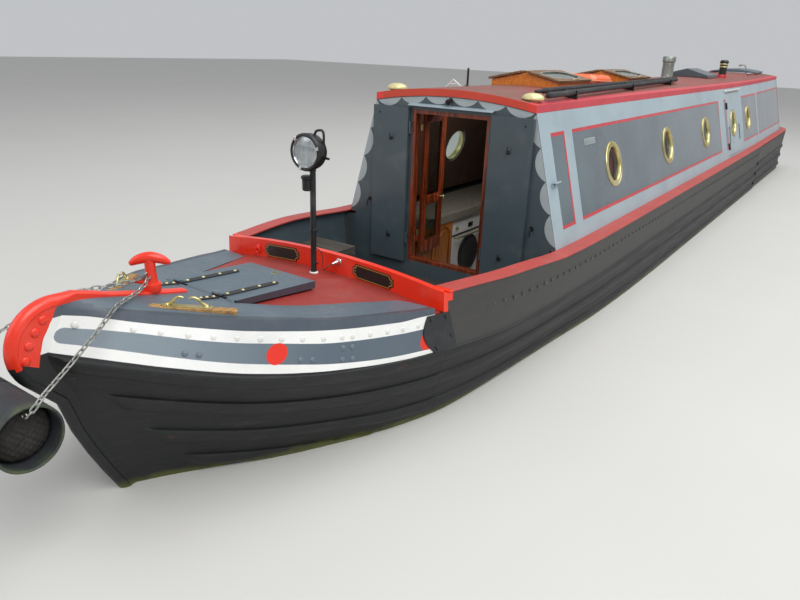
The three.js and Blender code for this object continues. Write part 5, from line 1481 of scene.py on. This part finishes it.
def headlamp():
    (x, z), px, top = LAMP["bowl"], LAMP["x"], LAMP["top"]
    at, post_at = shift((x, 0, z)) @ spin(LAMP["turn"], "Z") @ spin(pi / 2, "Y"), shift((px, 0, 0))
    piece("headlamp_bowl", turned([(0, -85), (60, -82), (84, -72), (97, -50), (102, -25), (103, 8), (0, 8)], 56, at),
          "black", replaces="headlamp", bevel=2)
    rim = turned_ring([(85, 4), (104, 4), (105, 10), (104, 19), (100, 25), (94, 27), (88, 25), (85, 18)], 64, at)
    strap = ((-40, 20, 92), (-42, 34, 115), (-44, 72, 120), (-44, 84, 98), (-42, 86, 45), (-40, 86, 14))
    handle = tube(route([(x + dx, y, z + dz) for dx, y, dz in strap], 6), 7)
    knob = rounded([(x - 42, y, z + dz) for y, dz in ((88, -26), (106, -27), (122, -28))], 7, 14)
    piece("headlamp_rim", many(rim, handle, knob), "black")
    seat = turned_ring([(80, 12), (86, 12), (86, 22), (83, 24), (80, 20)], 64, at)
    clips = [boxed(-9, 9, 84, 103, 24, 31, at @ spin(a, "Z")) for a in (0.3, 2.3, 4.4)]
    piece("headlamp_clips", many(seat, *clips), "chrome", bevel=1)
    piece("headlamp_lens", turned([(0, 23), (30, 22), (60, 19), (83, 14), (83, 10), (0, 10)], 48, at), "lens")
    dish = [(0, 8.2), (83, 8.2), (83, 9.4), (50, 9.2), (16, 9), (15, 9.8), (0, 9.8)]
    piece("headlamp_mirror", turned(dish, 48, at), "mirror")
    foot = foredeck_z(px) + FIT
    post = [(0, foot), (19, foot), (19, foot + 14), (17, foot + 18), (17, 1500), (17, 1700), (17, top - 1), (0, top)]
    piece("lamp_post_tube", turned(post, 28, post_at), "black", replaces="lamp_post", sharp=0.8)
    sealing = [(19, foot - 1), (27, foot - 1), (26, foot + 4), (21, foot + 8), (19, foot + 8)]
    piece("lamp_post_sealing", turned_ring(sealing, 28, post_at), "white")
    canister = [(0, 1803), (24, 1803), (29, 1809), (30, 1868), (35, 1871), (36, 1876), (35, 1886), (28, 1890),
                (0, 1890)]
    yoke = many(boxed(px - 12, px + 22, -16, 16, top + FIT, z - 60),
                rod((x - 30, -24, z - 96), (x - 30, 24, z - 96), 9),
                rod((px, 0, top), (px, 0, z - 90), 13), turned(canister, 36, shift((px + 12, -32, 0))),
                rod((px, 0, 1846), (px + 10, -26, 1846), 10, 14))
    piece("headlamp_yoke", yoke, "black", bevel=2)
    collar = [(17, 1561), (21, 1561), (22, 1564), (22, 1580), (21, 1583), (17, 1583)]
    piece("post_clamp", many(turned(collar, 28, post_at), rod((px, 18, 1572), (px, 30, 1572), 5, 12),
                             rod((px, 14, 1376), (px, 32, 1376), 6, 12)), "black", bevel=1)


# Locker lid's strap hinges, and its finger hole as a sunk brass ring
LID = {"low": 1386, "slope": 0.084}


def straps():
    half, body = 20, "locker_lid"
    for y, word in ((-150, "starboard"), (150, "port")):
        def lid_at(u, v, h, y=y):
            return V(u, y + v, LID["low"] + LID["slope"] * (u - LOCKER["aft"]) + h)

        def deck_at(u, v, h, y=y):
            return V(u, y + v, deck_z(u, y) + h)
        turn = steps(pi / 2, -pi / 2, 10)
        leaf = [(2300, half), *[(1950 - half * cos(a), half * sin(a)) for a in turn], (2300, -half)]
        rest = [(2336, -half), *[(2430 + half * cos(a), half * sin(a)) for a in turn[::-1]], (2336, half)]
        for name, outline, place, low, bolts, bolt_body in (
                ("lid", leaf, lid_at, -1, (1955, 2060, 2170, 2270), body),
                ("deck", rest, deck_at, -3, (2355, 2395, 2430), "boat")):
            domes = [dome(place(u, 0, 6), (0, 0, 1), 9, 5) for u in bolts]
            piece(name + "_strap_" + word, plate(outline, place, low, 6), "iron", body=bolt_body, bevel=1.5)
            piece(name + "_bolts_" + word, many(*domes), "brass_dull", body=bolt_body)
    beads = [rounded([(LOCKER_PIN_X - 1, y, 1427) for y in ends], 11.5)
             for ends in ((-240, -205), (-85, 85), (205, 240))]
    piece("lid_beads", many(*beads), "slate", body=body)
    ring = turned_ring([(15, -2), (24, -2), (24, 2), (20, 3.5), (15, 2)], 32,
                       shift((1800, 0, LID["low"] + LID["slope"] * 55)))
    piece("lid_finger_ring", ring, "brass", body=body)


# A rectangle whose corners are cut in by quarter rounds
def scalloped(half_u, half_v, r):
    line = []
    for su, sv, way in ((1, 1, -1), (-1, 1, 1), (-1, -1, -1), (1, -1, 1)):
        line += [(su * (half_u - r * cos(a)), sv * (half_v - r * sin(a))) for a in steps(0, pi / 2, 6)[::way]]
    return [p for i, p in enumerate(line) if i == 0 or hypot(p[0] - line[i - 1][0], p[1] - line[i - 1][1]) > 0.5]


# Dash: two blank plates with a gold edge, and a ring eye
def dash_plates():
    forms, edges = [], []
    for y in (-360, 366):
        tilt, up = -2 * 58 * y / 824 ** 2, 1296 + 58 * (1 - (y / 824) ** 2)

        def at(u, v, h, y=y, tilt=tilt, up=up):
            return V(DASH_X + h, y + u, up + v + tilt * u)
        forms.append(plate(scalloped(148, 44, 22), at, -1, 3))
        edges += [plate(scalloped(143, 39, 22), at, 2, 4, [scalloped(138, 34, 22)]),
                  *[dome(at(u, 0, 3), (1, 0, 0), 3.5, 2) for u in (-128, 128)]]
    piece("dash_plates", many(*forms), "black", bevel=0.8)
    piece("dash_plate_lines", many(*edges), "gold")
    ring = closed_tube([V(1392, -569 + 17 * cos(a), 1322 + 17 * sin(a)) for a in angles(24)], 5, 10)
    stem = turned([(0, 0), (15, 0), (15, 4), (7, 8), (6, 14)], 20, axes((1379, -569, 1341), **FORWARD))
    piece("dash_ring_eye", many(ring, stem), "red")


CABLE = [(1480, 17.5, 1466), (1479, 30, 1465), (1472, 46, 1453), (1467, 54, 1434), (1464, 58, 1412),
         (1464, 58, 1390), (1466, 60, 1370), (1472, 67, 1353), (1481, 78, 1346), (1489, 91, 1350), (1490, 103, 1361),
         (1482, 110, 1373), (1468, 112, 1379), (1446.3, 112, 1380)]


def cable():
    profile = [(0, -0.5), (21, -0.5), (22, 3), (19, 7), (14, 10), (12.5, 34), (9, 46), (6, 60), (5, 66), (0, 66)]
    plug = piece("cable_plug", turned(profile, 36, axes((DASH_X, *CABLE[-1][1:]), **FORWARD)), "chrome",
                 replaces="lamp_plug")
    line = route(CABLE, 3)
    data = bpy.data.curves.new("lamp_lead", "CURVE")
    data.dimensions, data.bevel_depth, data.bevel_resolution, data.use_fill_caps = "3D", 0.003, 4, True
    spline = data.splines.new("POLY")
    spline.points.add(len(line) - 1)
    for point, p in zip(spline.points, line):
        point.co = (*row(p), 1)
    data.materials.append(M["rubber"])
    lead = add(bpy.data.objects.new("lamp_lead", data))
    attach(lead, "boat")
    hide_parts("lamp_cable")


# Inside: cupboards with arched panels under a worktop, and a washer with a round door
def cupboards():
    boxes = many(boxed(-2300, -1400, -830, -352, 320.3, 1202), boxed(-730, -170, -830, -352, 320.3, 1202))
    piece("galley_carcass", boxes, "oak", replaces="galley", bevel=3)
    piece("galley_worktop", boxed(-2300, -170, -830, -338, 1204, 1240), "worktop", bevel=3)
    piece("galley_worktop_edge", boxed(-2300, -166, -338, -331, 1170, 1239), "worktop", bevel=3)
    doors, knobs = [], []

    def lay(x, z, h):
        return V(x, -352 + h, z)
    for a, b, knob_x in ((-725, -452, -476), (-448, -175, -424), (-1680, -1405, -1429), (-1960, -1685, -1936)):
        arch = [(a + 45, 440), (b - 45, 440)]
        arch += [(lerp(b - 45, a + 45, t), 1085 + 50 * sin(pi * t)) for t in steps(0, 1, 14)]
        small = [(lerp((a + b) / 2, x, 0.8), lerp(780, z, 0.92)) for x, z in arch]
        doors += [plate(rectangle(a + 3, b - 3, 380, 1180), lay, -2, 12, [arch]), plate(arch, lay, -2, 3),
                  plate(small, lay, 2, 10)]
        knobs.append(turned([(0, 0), (8, 0), (6, 10), (14, 18), (14, 24), (0, 28)], 20,
                            axes((knob_x, -340, 1120), **TO_PORT)))
    piece("galley_doors", many(*doors), "oak", bevel=2.5)
    piece("galley_knobs", many(*knobs), "brass")


def washer():
    piece("washer_body", boxed(-1395, -735, -830, -360, 320.3, 1199), "white", replaces="washer", bevel=8)
    door = turned([(0, 0), (178, 0), (178, 10), (170, 20), (150, 25), (140, 22), (0, 14)], 64,
                  axes((-1060, -362, 800), **TO_PORT))
    piece("washer_door", door, "black")
    front = many(boxed(-1390, -740, -362, -355, 1006, 1020), boxed(-1120, -1040, -362, -354, 1050, 1090))
    piece("washer_strip", front, "black", bevel=1)
    rail = ((-1330, -360), (-1326, -335), (-1300, -326), (-830, -326), (-800, -335), (-796, -360))
    knob = turned([(0, 0), (17, 0), (17, 5), (11, 8), (10, 20), (0, 22)], 24, axes((-830, -361, 1075), **TO_PORT))
    piece("washer_rail", many(tube(route([(x, y, 990) for x, y in rail], 6, 0.3), 7), knob), "brass")


def stern_gear():
    body = "rudder"
    piece("rudder_blade", boxed(-12160, -11665, -7, 7, 62, 478), "black_steel", body=body, replaces=body, bevel=5)
    stock = many(rod((-11820, 0, 12), (-11820, 0, 1560), 21.5, 28), rod((-11820, 0, 1500), (-11820, 0, 1545), 27, 28))
    piece("rudder_stock", stock, "black_steel", body=body, bevel=2)
    swan = ((-11820, 1530), (-11820, 1600), (-11850, 1800), (-11830, 2150), (-11720, 2390), (-11500, 2480),
            (-11200, 2488), (-10905, 2488))
    piece("tiller_neck", rounded(route([(x, 0, z) for x, z in swan], 10), lambda t: 19 - 4 * t, 20), "steel", body=body)
    grip = rounded([(x, 0, 2488) for x in (-11060, -11000, -10950, -10915)], lambda t: 19 + 3 * sin(pi * t), 20)
    piece("tiller_grip", grip, "varnish", body=body)


# Stage: a pale floor at the waterline, and soft lights: where, towards what, size and power
LIGHTS = {"key": ((9, 7, 11), (3, 0, 1), 9, 900), "fill": ((14, -6, 8), (3, 0, 1), 10, 300),
          "over": ((-3, 4, 14), (-3, 0, 1), 16, 1500), "cabin": ((3.7, 0.1, 2.1), (3.1, -0.6, 0.9), 0.5, 6)}
FLOOR_HALF = 60000


def stage():
    corners = [(FLOOR_HALF * u, FLOOR_HALF * v) for u, v in ((-1, -1), (1, -1), (1, 1), (-1, 1))]
    things = [new_object("stage_floor", plate(corners, lambda u, v, h: V(u, v, WATERLINE + h), -20, 0), "stage")]
    for name, (at, aim, size, power) in LIGHTS.items():
        data = bpy.data.lights.new(name, "AREA")
        data.shape, data.size, data.energy = "DISK", size, power
        light = add(bpy.data.objects.new(name, data))
        light.location, light.rotation_mode, light.visible_camera = at, "QUATERNION", False
        light.rotation_quaternion = (Vector(aim) - Vector(at)).to_track_quat("-Z", "Y")
        things.append(light)
    world = bpy.context.scene.world = bpy.data.worlds.new("studio")
    world.use_nodes = True
    background = world.node_tree.nodes["Background"].inputs
    background["Color"].default_value, background["Strength"].default_value = (0.88, 0.9, 0.93, 1), 0.6
    bpy.context.scene.view_settings.view_transform = "Standard"


# A function that makes what each side has, as one that makes both
def on_both(make):
    def made():
        for side, word in SIDES:
            make(side, word)
    return made


for make in (bow, on_both(hull_side), dash_ends, side_rivets, joint_plate, stem_bar, band_rivets, on_both(gunwale),
             kept_pieces, on_both(cabin_side), curtains, side_hatch, side_fittings, scallops, bulkhead_fittings,
             on_both(inner_door), lids, on_both(mushroom), roof_poles, pipes, lifebuoy, aerial, stud, chain, fender,
             fairleads, headlamp, straps, dash_plates, cable, cupboards, washer, stern_gear, stage):
    make()
